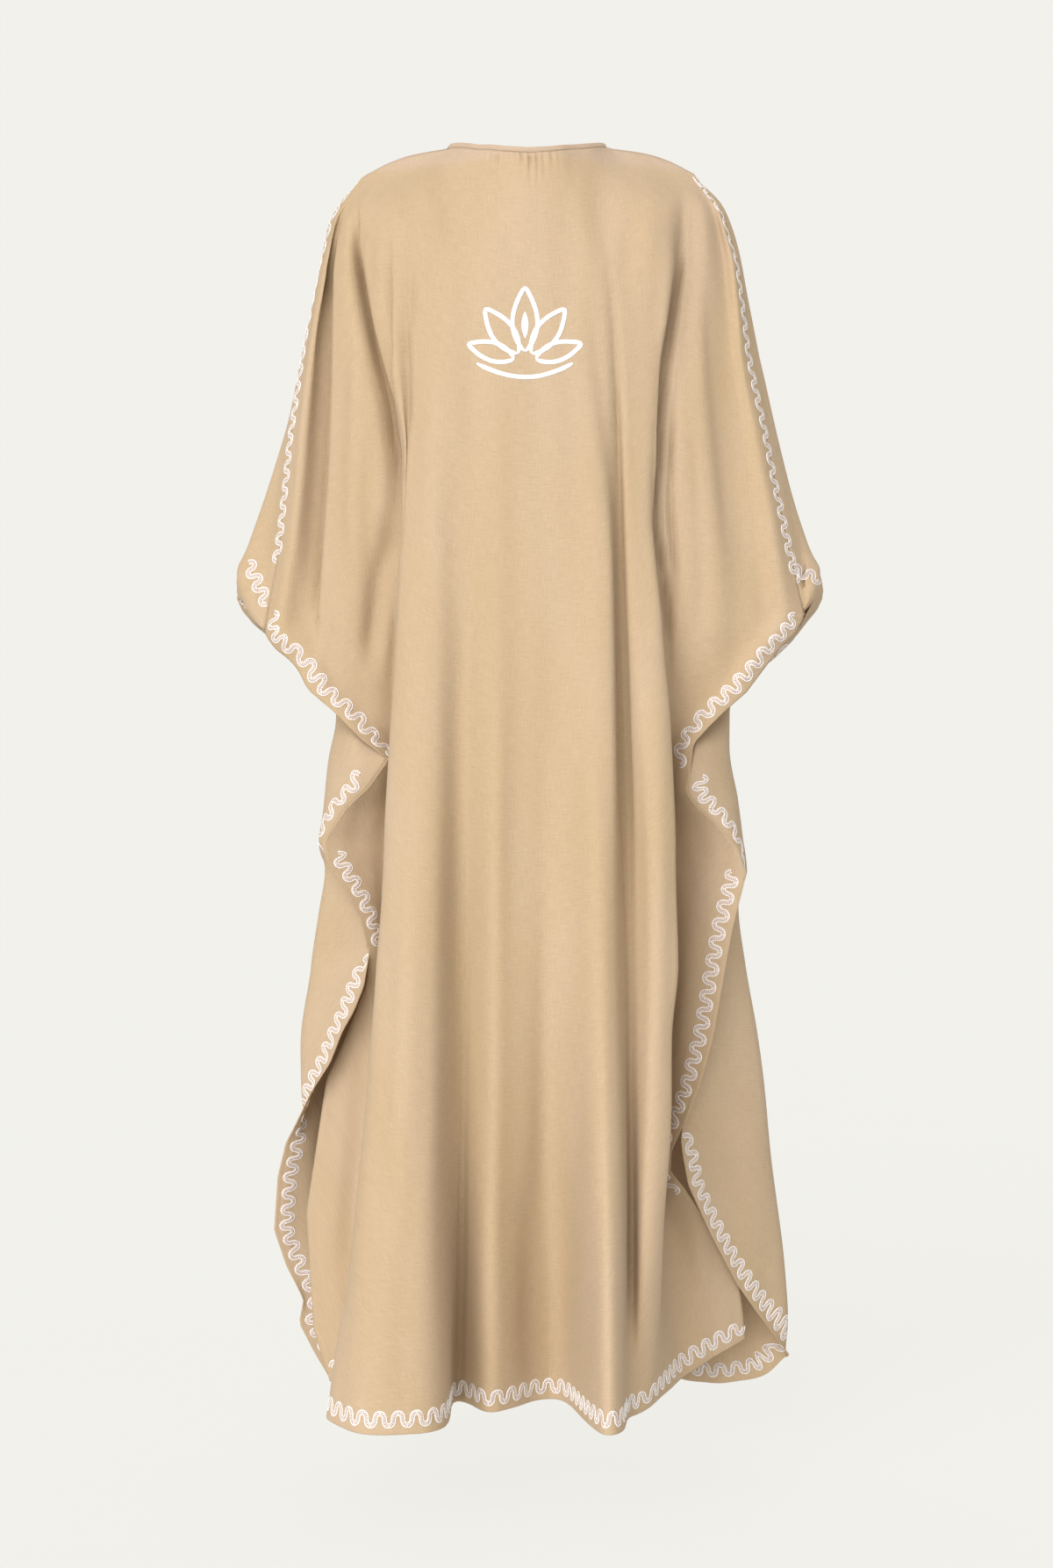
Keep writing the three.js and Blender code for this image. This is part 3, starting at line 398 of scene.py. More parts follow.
# Creases, listed: depth (below 0 a trough, above 0 a ridge), half width or those to -X and to +X,
# and points (sideways, height) from the top down
BACK_CREASES = [
    # where the left sleeve leaves the body
    (-14.0, (8.5, 2.4), [
        (-184, -50), (-184, -120), (-174, -176), (-159, -245), (-149, -290), (-141, -350), (-141, -430),
    ]),
    (4.5, 5, [(-172, -90), (-172, -130), (-162, -190), (-147, -260), (-137, -320)]),
    (3.0, 8, [(-162, -110), (-156, -190), (-147, -250)]),
    (-6.5, (6.5, 2.4), [(-147, -90), (-147, -150), (-146, -257), (-139, -345), (-140, -420)]),
    (-6.0, (6, 2.4), [(-140, -330), (-141, -400), (-142, -500), (-146, -620)]),
    (-10.0, 11, [(-143, -380), (-148, -440), (-156, -472), (-164, -520), (-172, -590)]),
    (-5.5, (7, 2.6), [(-117, -90), (-122, -160), (-128, -230), (-126, -300), (-132, -390), (-134, -460)]),
    # the narrow lit strip on the left, and the crease beside it
    (-15.0, (11, 2.4), [
        (-196, -60), (-208, -105), (-213, -145), (-214, -200), (-215, -262), (-218, -352), (-223, -430),
        (-227, -512), (-228, -590),
    ]),
    (2.6, 6, [(-216, -100), (-230, -150), (-233, -240), (-240, -330), (-247, -420), (-252, -500)]),
    (-2.2, 11, [(-190, -180), (-196, -260), (-200, -340), (-200, -430), (-194, -540)]),
    (2.6, 10, [(-180, -200), (-186, -300), (-188, -400), (-180, -500)]),
    (-2.6, 9, [(-166, -300), (-168, -400), (-166, -500), (-160, -600)]),
    # where the right sleeve leaves the body
    (-14.0, (9, 2.4), [
        (167, -50), (163, -150), (154, -215), (147, -262), (142, -320), (138, -386), (138, -423),
        (144, -470), (149, -520), (150, -620),
    ]),
    (2.6, 8, [(150, -110), (146, -190), (138, -250)]),
    (-8.0, (6.5, 2.6), [(158, -250), (153, -303), (149, -386), (153, -460), (152, -500), (150, -560)]),
    (-3.0, 9, [(186, -110), (190, -200), (196, -290), (206, -390), (212, -480)]),
    (2.4, 9, [(204, -130), (212, -210), (220, -300), (232, -400), (242, -500)]),
    (-2.6, 9, [(224, -200), (236, -300), (248, -380), (262, -460)]),
    (-3.0, 10, [(174, -280), (178, -380), (182, -480), (176, -580)]),
    # shoulders
    (-1.3, 9, [(-132, -40), (-118, -90), (-104, -150), (-96, -210)]),
    (1.2, 9, [(-112, -44), (-98, -100), (-88, -160)]),
    (-1.3, 9, [(130, -40), (116, -92), (102, -150), (95, -215)]),
    (1.2, 9, [(110, -44), (96, -100), (86, -160)]),
    (-1.0, 8, [(-160, -44), (-168, -72), (-172, -104)]),
    (-1.0, 8, [(158, -42), (164, -70), (166, -98)]),
    # long soft folds down the middle
    (-1.5, 12, [(-70, -250), (-78, -420), (-80, -600), (-84, -760)]),
    (1.4, 14, [(-50, -300), (-52, -480), (-56, -680), (-60, -860)]),
    (-1.5, 12, [(-28, -330), (-26, -520), (-24, -720), (-24, -930), (-22, -1130)]),
    (1.4, 13, [(0, -360), (4, -560), (8, -780), (12, -980)]),
    (-1.5, 12, [(36, -300), (38, -480), (36, -680), (38, -900), (42, -1120)]),
    (1.3, 13, [(62, -320), (68, -470), (72, -640)]),
    (-8.5, (8, 3.4), [
        (80, -80), (85, -150), (90, -220), (93, -300), (95, -420), (97, -500), (100, -640), (103, -760),
        (104, -900),
    ]),
    (2.0, 7, [(80, -330), (84, -480), (86, -640), (88, -800)]),
    (-1.6, 10, [(112, -620), (114, -800), (112, -960), (108, -1120)]),
    (1.4, 9, [(126, -520), (132, -680), (134, -840), (126, -1000), (120, -1150)]),
    (-4.0, 10, [(-62, -400), (-66, -560), (-70, -700), (-71, -840), (-71, -980)]),
    (1.5, 11, [(-108, -640), (-116, -840), (-124, -1020), (-134, -1180), (-142, -1330)]),
    (-1.3, 9, [(-126, -560), (-134, -760), (-142, -940), (-152, -1120), (-164, -1300)]),
    (-1.4, 10, [(52, -960), (56, -1100), (56, -1230), (52, -1345)]),
    (1.3, 12, [(-62, -980), (-64, -1120), (-66, -1250), (-64, -1345)]),
    (-1.3, 10, [(-6, -1060), (-4, -1180), (0, -1345)]),
    # wings
    (-2.0, 10, [(-150, -720), (-158, -800), (-150, -880), (-158, -980)]),
    (1.6, 12, [(-172, -720), (-186, -790), (-166, -880)]),
    (-1.8, 12, [(-172, -930), (-186, -1040), (-196, -1160), (-200, -1290)]),
    (1.5, 12, [(-188, -1020), (-206, -1120), (-218, -1230)]),
    (-2.0, 10, [(146, -720), (152, -820), (150, -920), (142, -1040)]),
    (1.6, 12, [(168, -730), (186, -800), (176, -900), (160, -1000)]),
    (-1.8, 11, [(150, -1130), (166, -1190), (186, -1260), (196, -1310)]),
]
FRONT_CREASES = [
    (-2.6, 6, [(-166, -90), (-168, -170), (-156, -280), (-150, -390)]),
    (2.0, 9, [(-148, -110), (-146, -200), (-138, -320)]),
    (-2.6, 6, [(164, -90), (166, -170), (156, -280), (150, -390)]),
    (2.0, 9, [(148, -110), (146, -200), (138, -320)]),
    (-1.4, 9, [(-98, -70), (-84, -130), (-72, -210), (-64, -300)]),
    (1.3, 10, [(-74, -90), (-62, -160), (-52, -250)]),
    (-1.4, 9, [(98, -70), (84, -130), (72, -210), (64, -300)]),
    (1.3, 10, [(74, -90), (62, -160), (52, -250)]),
    (-1.2, 10, [(-40, -150), (-30, -210), (-24, -300), (-24, -420)]),
    (-1.2, 10, [(40, -150), (32, -210), (26, -300), (26, -420)]),
    (-1.6, 12, [(-112, -330), (-118, -500), (-116, -700), (-118, -900)]),
    (1.5, 13, [(-72, -380), (-74, -560), (-76, -760), (-76, -980)]),
    (-1.6, 12, [(-26, -420), (-28, -640), (-26, -880), (-26, -1120)]),
    (1.4, 13, [(2, -300), (0, -560), (6, -820)]),
    (-1.6, 12, [(30, -440), (32, -660), (34, -900), (38, -1150)]),
    (1.5, 13, [(80, -380), (78, -600), (82, -840), (88, -1060)]),
    (-1.6, 12, [(116, -330), (122, -520), (124, -720), (130, -940)]),
    (-1.6, 12, [(-124, -1000), (-122, -1140), (-120, -1350)]),
    (1.5, 12, [(-20, -1120), (-14, -1240), (-8, -1360)]),
    (-1.6, 12, [(86, -1120), (90, -1240), (96, -1360)]),
    (-1.8, 10, [(-196, -140), (-212, -260), (-230, -380), (-244, -480)]),
    (1.6, 10, [(-220, -150), (-236, -270), (-256, -390)]),
    (-1.8, 10, [(196, -140), (214, -260), (232, -380), (246, -480)]),
    (1.6, 10, [(220, -150), (238, -270), (258, -390)]),
    (-1.8, 12, [(-206, -680), (-210, -820), (-222, -980), (-238, -1140)]),
    (1.6, 12, [(-232, -800), (-244, -960), (-258, -1100)]),
    (-1.8, 12, [(206, -680), (214, -820), (224, -980), (238, -1140)]),
    (1.6, 12, [(232, -800), (244, -960), (262, -1120)]),
]
SWELL_WANDERS = (190, 83)  # a long wave down each fold, and a short one half as strong
SWELL_GROWTH = (0.55, 0.9)  # share at the top, and what is added down to the hem
# Soft folds all over: height of a crest, length from crest to crest, drift, place
BACK_SWELLS = [(0.75, 58, 0.9, 0.4), (0.5, 33, 1.4, 2.1), (0.35, 91, 0.5, 4.0)]
FRONT_SWELLS = [(0.75, 63, 0.8, 1.7), (0.5, 36, 1.3, 3.3), (0.35, 84, 0.6, 0.2)]

# Motif, flat on the back: petals as (angle from upright in degrees, length, half width)
MOTIF_FOOT = (-4.5, -258.0)
PETALS = [(0, 80, 13), (-36, 71, 11.5), (36, 71, 11.5), (-71, 63, 9.5), (71, 63, 9.5)]
PETAL_START = 12.0  # from the foot to a petal's root
PETAL_ROUNDING = (0.85, 0.9)  # below 1 the widest place lies nearer to the root, and the sides are fuller
PETAL_STEPS = 30
SEED = (28, 4.0)  # length and half width of the solid leaf inside the upright petal
SEED_START = 0.32  # share of the upright petal's length
SEED_TIPS = 0.03  # share of its swell that is cut off at either end
SEED_STEPS = 14
CRADLE = (50, 15)  # half length and depth of the arc under the petals
CRADLE_STEPS = 33
STROKE_HALF = 2.5
STROKE_RISE = 1.2
STROKE_TIPS = (0.45, 0.06)  # a stroke's share of its width at its ends, and how far that tapers


def slope_at(rows, i, k):
    """Slope of value k at an inner row: level at a turning point, so that the curve never overshoots."""
    above = (rows[i][k] - rows[i - 1][k]) / (rows[i][0] - rows[i - 1][0])
    below = (rows[i + 1][k] - rows[i][k]) / (rows[i + 1][0] - rows[i][0])
    return 0.0 if above * below <= 0 else 2 * above * below / (above + below)


def value_at(line, z, k):
    """Value k of a line at height z: straight between the rows of a sharp line, else a smooth curve."""
    rows = line["rows"]
    i = 0
    while i < len(rows) - 2 and z < rows[i + 1][0]:
        i += 1
    start, end = rows[i], rows[i + 1]
    span = end[0] - start[0]
    t = min(max((z - start[0]) / span, 0.0), 1.0)
    if line.get("sharp"):
        return start[k] + (end[k] - start[k]) * t
    mean = (end[k] - start[k]) / span
    first = (mean if i == 0 else slope_at(rows, i, k)) * span
    last = (mean if i == len(rows) - 2 else slope_at(rows, i + 1, k)) * span
    return (
        start[k] * (1 + 2 * t) * (1 - t) ** 2
        + first * t * (1 - t) ** 2
        + end[k] * t * t * (3 - 2 * t)
        - last * t * t * (1 - t)
    )


def height_at(rows, level, top_join):
    """Height of a line on a section: level in the middle, and run out to the line's own ends."""
    top, bottom = rows[0][0], rows[-1][0]
    if level > top_join:
        return top + (top_join - top) * level / top_join
    if level > HEM_JOIN:
        return level
    return HEM_JOIN + (bottom - HEM_JOIN) * (level - HEM_JOIN) / (HEM_LEVEL - HEM_JOIN)


def section_points(lines, level, top_join, side):
    points = []
    for i, (line, _) in enumerate(lines):
        if "between" in line:
            points.append(None)
            continue
        z = height_at(line["rows"], level, top_join)
        point = np.array([value_at(line, z, 1), value_at(line, z, 2), z])
        if i in (0, len(lines) - 1):
            point[0] += side * (-1 if i == 0 else 1) * SEAM_HALF[0]
            point[1] += side * SEAM_HALF[1]
        points.append(point)
    for i, (line, _) in enumerate(lines):
        if "between" in line:
            edge, root = (points[place] for place in line["between"])
            points[i] = edge + (root - edge) * value_at(line, level, 1)
            points[i][1] += side * value_at(line, level, 2)
    return points


def row_levels():
    """Heights of the rows: even, finer at the neck and the hem."""
    levels = [0.0]
    while levels[-1] > HEM_LEVEL:
        near = levels[-1] > -EDGE_ROWS_WITHIN or levels[-1] < HEM_LEVEL + EDGE_ROWS_WITHIN
        levels.append(max(levels[-1] - (EDGE_ROW_STEP if near else ROW_STEP), HEM_LEVEL))
    return levels


def across_lines(points, lines):
    """Smooth surface through the lines: every row's fine columns. points is rows x lines x 3."""
    ahead = 2 * points[:, :1] - points[:, 1:2]
    after = 2 * points[:, -1:] - points[:, -2:-1]
    p = np.concatenate([ahead, points, after], axis=1)
    chord = np.maximum(np.sum((p[:, 1:] - p[:, :-1]) ** 2, axis=2) ** 0.25, 1e-3)[..., None]
    columns = []
    for i, (_, count) in enumerate(lines[:-1]):
        a, b, c, d = (p[:, i + k] for k in range(4))
        d0, d1, d2 = (chord[:, i + k] for k in range(3))
        start = ((b - a) / d0 - (c - a) / (d0 + d1) + (c - b) / d1) * d1
        end = ((c - b) / d1 - (d - b) / (d1 + d2) + (d - c) / d2) * d1
        for step in range(count):
            t = step / count
            columns.append(
                b + start * t
                + (-3 * b + 3 * c - 2 * start - end) * t**2
                + (2 * b - 2 * c + start + end) * t**3
            )
    columns.append(points[:, -1])
    return np.stack(columns, axis=1)


def lay_on_shoulders(grid, levels, lines, side):
    """Draws the top rows onto the shoulder seams, from their tips to the neck's side points."""
    first = sum(count for _, count in lines[:NECK_LINES])
    place = [i + np.arange(count) / count for i, (_, count) in enumerate(lines[:-1])]
    place = np.concatenate([*place, [len(lines) - 1]])
    fade = np.clip(1 + np.array(levels) / SHOULDER_FADE, 0, 1) ** 2
    for tip, sign in ((ARM_SEAM_LEFT[0], -1), (ARM_SEAM_RIGHT[0], 1)):
        across = (place if sign < 0 else len(lines) - 1 - place) / NECK_LINES
        for i in np.flatnonzero(across <= 1):
            t = across[i] ** SHOULDER_CROWDING
            seam = np.array([
                tip[1] + (sign * NECK_HALF - tip[1]) * t,
                NECK_POINT[1] * t + side * SHOULDER_HALF,
                tip[0] + (NECK_POINT[0] - tip[0]) * t + SHOULDER_CURVE * math.sin(math.pi * t),
            ])
            grid[:, i] += fade[:, None] * (seam - grid[0, i])
    return first


def unit(v):
    return v / np.maximum(np.linalg.norm(v, axis=-1, keepdims=True), 1e-9)


def mean_direction(grid, axis):
    step = unit(np.diff(grid, axis=axis))
    pad = [(0, 0)] * 3
    pad[axis] = (1, 0)
    before = np.pad(step, pad)
    pad[axis] = (0, 1)
    return unit(before + np.pad(step, pad))


def grid_normals(grid, side):
    """Unit normals of a panel's points, out of the garment."""
    return unit(np.cross(mean_direction(grid, 1), mean_direction(grid, 0))) * side


def arc(grid, axis):
    steps = np.linalg.norm(np.diff(grid, axis=axis), axis=2)
    pad = [(0, 0)] * 2
    pad[axis] = (1, 0)
    return np.cumsum(np.pad(steps, pad), axis=axis)


def smooth(t):
    t = np.clip(t, 0, 1)
    return t * t * (3 - 2 * t)


def crease_height(x, z, creases):
    """Height of the listed creases over points seen from behind."""
    total = np.zeros_like(x)
    for depth, half, points in creases:
        points = np.array(points, float)
        steps = np.diff(points, axis=0)
        lengths = np.linalg.norm(steps, axis=1)
        starts = np.concatenate([[0], np.cumsum(lengths)])
        best = np.full(x.shape, 1e9)
        along = np.zeros_like(x)
        width = np.zeros_like(x)
        before, beyond = half if isinstance(half, tuple) else (half, half)
        for p, step, length, start in zip(points, steps, lengths, starts):
            t = np.clip(((x - p[0]) * step[0] + (z - p[1]) * step[1]) / length**2, 0, 1)
            gap = np.hypot(x - p[0] - t * step[0], z - p[1] - t * step[1])
            along = np.where(gap < best, (start + t * length) / starts[-1], along)
            turn = (z - p[1]) * step[0] - (x - p[0]) * step[1]
            width = np.where(gap < best, np.where(turn < 0, before, beyond), width)
            best = np.minimum(best, gap)
        ends = smooth(along / CREASE_ENDS) * smooth((1 - along) / CREASE_ENDS)
        total += depth * ends * np.exp(-((best / width) ** 2))
    return total


def swell_height(x, z, swells):
    """Soft folds that run down the cloth, stronger towards the hem."""
    total = np.zeros_like(x)
    long, short = SWELL_WANDERS
    for height, spacing, drift, place in swells:
        wander = drift * np.sin(z / long + place) + 0.5 * drift * np.sin(z / short + 2 * place)
        total += height * np.sin(2 * math.pi * x / spacing + wander + place)
    return total * (SWELL_GROWTH[0] + SWELL_GROWTH[1] * smooth(z / HEM_LEVEL))


def swinging(u, mean, swing, often, place):
    return mean + swing * np.sin(often * u + place)


def gather_height(grid, first, last):
    """Gathers under the neck band, on the columns between the neck's side points."""
    rows, columns = grid.shape[:2]
    u = (np.arange(columns) - first) / (last - first)
    plain, grow = GATHER_SIDE
    inside = smooth((u - plain) / grow) * smooth((1 - plain - u) / grow)
    middle = 1 - GATHER_SIDE_LOSS * np.abs(2 * u - 1)
    shifted = u + sum(far * np.sin(often * u + place) for far, often, place in GATHER_JITTER)
    wave = np.cos(2 * math.pi * GATHERS * shifted)
    top = grid[0, :, 2]
    rise, fall = GATHER_FALL
    down = np.clip((top - grid[..., 2]) / ((top - GATHER_END) * swinging(u, *GATHER_REACH)), 0, 1)
    strength = inside * middle * swinging(u, *GATHER_STRENGTH) * wave
    return GATHER_DEPTH * smooth(down * rise) * (1 - down) ** fall * strength


def turned_hems(grid, inset):
    """The cloth stands a little higher where the hems are turned in, along the free edges."""
    width, rise, fade = TURNED_HEM
    free = np.zeros(grid.shape[:2])
    for sign, spans in FREE_EDGES.items():
        on_side = sign * grid[..., 0] > 0
        for top, bottom in spans:
            within = smooth((top - grid[..., 2]) / HEM_FADE) * smooth((grid[..., 2] - bottom) / HEM_FADE)
            free = np.maximum(free, within * on_side)
    down = arc(grid, 0)
    beside = free * (1 - smooth((inset - width) / fade))
    along_hem = 1 - smooth((down[-1:] - down - width) / fade)
    return rise * np.maximum(beside, along_hem)


def ramp(value, start, whole):
    """Smooth step from 0 at start to 1 at whole."""
    return smooth((value - start) / (whole - start))


def lift_wrists(grid):
    """Lifts the front's cuff edge beside each arm seam up to the tip of the sleeve."""
    drops, reaches = -np.array(WRIST_OUTLINE).T[0], np.array(WRIST_OUTLINE).T[1]
    for sign, (seam, whole) in WRIST_SEAMS.items():
        x, y, z = sign * grid[..., 0], grid[..., 1], grid[..., 2]
        share = ramp(x, seam, whole) * ramp(y, *WRIST_RAMPS[0])
        share *= ramp(z, *WRIST_RAMPS[1]) * ramp(z, *WRIST_RAMPS[2])
        raised = z + WRIST_LIFT[0] * share
        outline = np.interp(-raised, drops, reaches) - np.interp(-z, drops, reaches)
        grid[..., 0] += sign * outline * share
        grid[..., 1] += WRIST_LIFT[1] * share
        grid[..., 2] = raised


def drop_seam_end(grid, side):
    """Carries the left arm seam's lower end down and out, with the cloth beside it."""
    out, down = SEAM_DROP
    x, y, z = -grid[..., 0], grid[..., 1], grid[..., 2]
    sideways, above, below, depth = SEAM_RAMPS
    share = ramp(x, *sideways) * ramp(z, *above) * ramp(z, *below)
    if side > 0:
        share = share * ramp(y, *depth)
    grid[..., 0] -= out * share
    grid[..., 2] -= down * share


def lower_neckline(grid, levels):
    """Brings the neckline down, so that the band's top lies where the shoulders' line runs out."""
    drop, whole, gone, below = NECK_DROP
    aside = np.abs(grid[:1, :, 0])
    across = ramp(aside, gone, whole) * (NECK_MIDDLE + (1 - NECK_MIDDLE) * ramp(aside, *NECK_DIP))
    grid[..., 2] -= drop * across * smooth(1 + np.array(levels)[:, None] / below)


class Panel:
    """A panel of cloth: its middle surface, its normals and the distances along it."""

    def __init__(self, lines, top_join, side, creases, swells, gathered):
        levels = row_levels()
        points = np.array([section_points(lines, level, top_join, side) for level in levels])
        grid = across_lines(points, lines)
        self.first = lay_on_shoulders(grid, levels, lines, side)
        if side > 0:
            lift_wrists(grid)
        drop_seam_end(grid, side)
        lower_neckline(grid, levels)
        self.last = grid.shape[1] - 1 - self.first
        normals = grid_normals(grid, side)
        across = arc(grid, 1)
        inset = np.minimum(across, across[:, -1:] - across)
        x, z = grid[..., 0], grid[..., 2]
        lift = crease_height(x, z, creases) + swell_height(x, z, swells)
        lift *= smooth(inset / FOLD_FADES[0]) * smooth((z[:1] - z) / FOLD_FADES[1])
        if gathered:
            lift += gather_height(grid, self.first, self.last)
        lift += turned_hems(grid, inset)
        self.side = side
        self.middle = grid + lift[..., None] * normals
        self.normals = grid_normals(self.middle, side)
        across = arc(self.middle, 1)
        centre = across[:, across.shape[1] // 2]
        self.uv = np.stack([(across - centre[:, None]) * MM, -arc(self.middle, 0) * MM], axis=2)

    def face(self, outward):
        """The outer face for 1, the inner one for -1."""
        return self.middle + outward * CLOTH_HALF * self.normals


def add_object(name, points, faces, material, uv):
    """A mesh object from points in millimetres. uv holds one pair for each point."""
    mesh = bpy.data.meshes.new(name)
    mesh.from_pydata([tuple(p) for p in np.asarray(points) * MM], [], faces)
    layer = mesh.uv_layers.new(name="cloth")
    loops = np.empty(len(mesh.loops), dtype=np.int64)
    mesh.loops.foreach_get("vertex_index", loops)
    layer.data.foreach_set("uv", np.asarray(uv, dtype=np.float32)[loops].ravel())
    mesh.polygons.foreach_set("use_smooth", [True] * len(mesh.polygons))
    mesh.materials.append(material)
    mesh.update()
    piece = bpy.data.objects.new(name, mesh)
    bpy.context.scene.collection.objects.link(piece)
    return piece


def wall(outer, inner):
    """Points and faces of a closed wall between two grids."""
    rows, columns = outer.shape[:2]
    points = np.concatenate([outer.reshape(-1, 3), inner.reshape(-1, 3)])
    out = np.arange(rows * columns).reshape(rows, columns)
    within = out + rows * columns
    faces = []

    def quads(a, b, c, d):
        faces.extend(zip(*(part.ravel().tolist() for part in (a, b, c, d))))

    quads(out[:-1, :-1], out[1:, :-1], out[1:, 1:], out[:-1, 1:])
    quads(within[:-1, :-1], within[:-1, 1:], within[1:, 1:], within[1:, :-1])
    quads(out[0, :-1], out[0, 1:], within[0, 1:], within[0, :-1])
    quads(out[-1, :-1], within[-1, :-1], within[-1, 1:], out[-1, 1:])
    quads(out[:-1, 0], within[:-1, 0], within[1:, 0], out[1:, 0])
    quads(out[:-1, -1], out[1:, -1], within[1:, -1], within[:-1, -1])
    return points, faces


def cloth_piece(name, panel, material):
    a, b = panel.face(1), panel.face(-1)
    outer, inner = (a, b) if panel.side < 0 else (b, a)
    points, faces = wall(outer, inner)
    return add_object(name, points, faces, material, np.concatenate([panel.uv.reshape(-1, 2)] * 2))


class Strip:
    """Cloth beside an edge: a point and a normal for a place along it and a distance in from it."""

    STEP = 1.0
    LEAST_SINE = 0.5
    LOOK_IN = 12  # steps from the edge to where its angle with the stations is measured
    EVENED = 7  # stations over which that angle is evened out

    def __init__(self, stations, normals, middle, low=0.0, high=STRIP_REACH):
        """stations: along x inward x 3, from the edge. Distances are measured on the cloth."""
        self.low = low
        self.reach = np.arange(low, high, self.STEP)
        self.points = np.empty((len(stations), len(self.reach), 3))
        self.normals = np.empty_like(self.points)
        for i, (line, normal, start) in enumerate(zip(stations, normals, middle)):
            inward = arc(line[None], 1)[0] - start
            for k in range(3):
                self.points[i, :, k] = np.interp(self.reach, inward, line[:, k])
                self.normals[i, :, k] = np.interp(self.reach, inward, normal[:, k])
        zero = int(round(-low / self.STEP))
        edge = self.points[:, zero]
        self.run = arc(edge[None], 1)[0]
        ahead = mean_direction(edge[None], 1)[0]
        lean = np.sum(ahead * unit(self.points[:, zero + self.LOOK_IN] - edge), axis=1)
        lean = np.pad(lean, self.EVENED // 2, mode="edge")
        lean = np.convolve(lean, np.ones(self.EVENED) / self.EVENED, mode="valid")
        self.sine = np.maximum(np.sqrt(np.maximum(1 - lean**2, 0)), self.LEAST_SINE)
        self.slant = lean / self.sine

    def at(self, along, inward):
        """Points and normals at distances along the edge, and square to it into the cloth."""
        run = self.run
        sine, slant = np.interp(along, run, self.sine), np.interp(along, run, self.slant)
        i = np.interp(along - inward * slant, run, np.arange(len(run)))
        inward = inward / sine
        j = np.clip((inward - self.low) / self.STEP, 0, len(self.reach) - 1.001)
        i0 = np.clip(i.astype(int), 0, len(run) - 2)
        j0 = j.astype(int)
        s, t = (i - i0)[:, None], (j - j0)[:, None]

        def blend(field):
            top = field[i0, j0] * (1 - t) + field[i0, j0 + 1] * t
            low = field[i0 + 1, j0] * (1 - t) + field[i0 + 1, j0 + 1] * t
            return top * (1 - s) + low * s

        return blend(self.points), unit(blend(self.normals))


class Geometry:
    """Points, faces and uv gathered for one piece."""

    def __init__(self):
        self.points, self.faces, self.uv = [], [], []

    def add(self, points, faces, uv):
        start = len(self.points)
        self.points.extend(points)
        self.faces.extend([tuple(start + k for k in face) for face in faces])
        self.uv.extend(uv)

    def sweep(self, path, normals, section, scale=None):
        """Closed bar along a path on the cloth. section: points (sideways, out from the cloth)."""
        path, normals = np.asarray(path), np.asarray(normals)
        section = np.asarray(section, float)
        direction = mean_direction(path[None], 1)[0]
        across = unit(np.cross(direction, normals))
        out = np.cross(across, direction)
        scale = np.ones(len(path)) if scale is None else np.asarray(scale)
        rings = (
            path[:, None]
            + across[:, None] * (section[:, 0] * scale[:, None])[..., None]
            + out[:, None] * (section[:, 1] * scale[:, None])[..., None]
        )
        n, m = rings.shape[:2]
        along = arc(path[None], 1)[0]
        faces = []
        for i in range(n - 1):
            for k in range(m):
                a, b = i * m + k, i * m + (k + 1) % m
                faces.append((a, a + m, b + m, b))
        faces.append(tuple(range(m)))
        faces.append(tuple(range((n - 1) * m, n * m))[::-1])
        uv = [(along[i] * MM, k / m * BAR_UV) for i in range(n) for k in range(m)]
        self.add(rings.reshape(-1, 3).tolist(), faces, uv)

    def piece(self, name, material):
        return add_object(name, self.points, self.faces, material, self.uv)


def side_strip(panel, end, outward):
    """Cloth beside the left edge (end 0) or the right one (end -1)."""
    face, normals = panel.face(outward), outward * panel.normals
    if end:
        face, normals = face[:, ::-1], normals[:, ::-1]
    return Strip(face[:, :SIDE_COLUMNS], normals[:, :SIDE_COLUMNS], np.zeros(len(face)))


def hem_strip(panel, outward):
    face, normals = panel.face(outward)[::-1], outward * panel.normals[::-1]
    lines = np.swapaxes(face[:HEM_ROWS], 0, 1)
    return Strip(lines, np.swapaxes(normals[:HEM_ROWS], 0, 1), np.zeros(len(lines)))


def rows_at(grid, heights, column):
    """The grid's rows where one of its columns has the given heights."""
    place = np.interp(-np.array(heights), -grid[:, column, 2], np.arange(len(grid)))
    low = np.clip(place.astype(int), 0, len(grid) - 2)
    return low, (place - low)[:, None, None]


def seam_strip(back, front, seam, end):
    """Cloth on both sides of an arm seam: the back's for distances above 0, the front's below."""
    near = slice(None) if end == 0 else slice(None, None, -1)
    heights = back.middle[:, end, 2]
    inside = (heights < seam[0][0]) & (heights > seam[-1][0])
    own, own_normals = back.face(1)[inside][:, near], back.normals[inside][:, near]
    low, share = rows_at(front.middle, heights[inside], end)

    def other(field):
        return (field[low] * (1 - share) + field[low + 1] * share)[:, near]

    others, other_normals = other(front.face(1)), other(front.normals)
    front_count, back_count = SEAM_COLUMNS
    lines = np.concatenate([others[:, front_count - 1::-1], own[:, :back_count]], axis=1)
    normals = np.concatenate([other_normals[:, front_count - 1::-1], own_normals[:, :back_count]], axis=1)
    middle = arc(lines, 1)[:, front_count - 1:front_count + 1].mean(axis=1)
    return Strip(lines, normals, middle, *SEAM_REACH)


def wave(length, steps):
    """Flat run of the ribbon's middle: shares of a period, places along and across, and headings."""
    count = max(round(length / WAVE_PERIOD), 1)
    t = np.arange(count * steps + 1) / steps
    heading = WAVE_SWINGS[0] * np.cos(2 * math.pi * t) + WAVE_SWINGS[1] * np.cos(6 * math.pi * t)
    middle = (heading[1:] + heading[:-1]) / 2
    along = np.concatenate([[0], np.cumsum(np.cos(middle))])
    across = np.concatenate([[0], np.cumsum(np.sin(middle))])
    size = length / along[-1]
    across = (across - (across.max() + across.min()) / 2) * size
    return t, along * size, across, heading


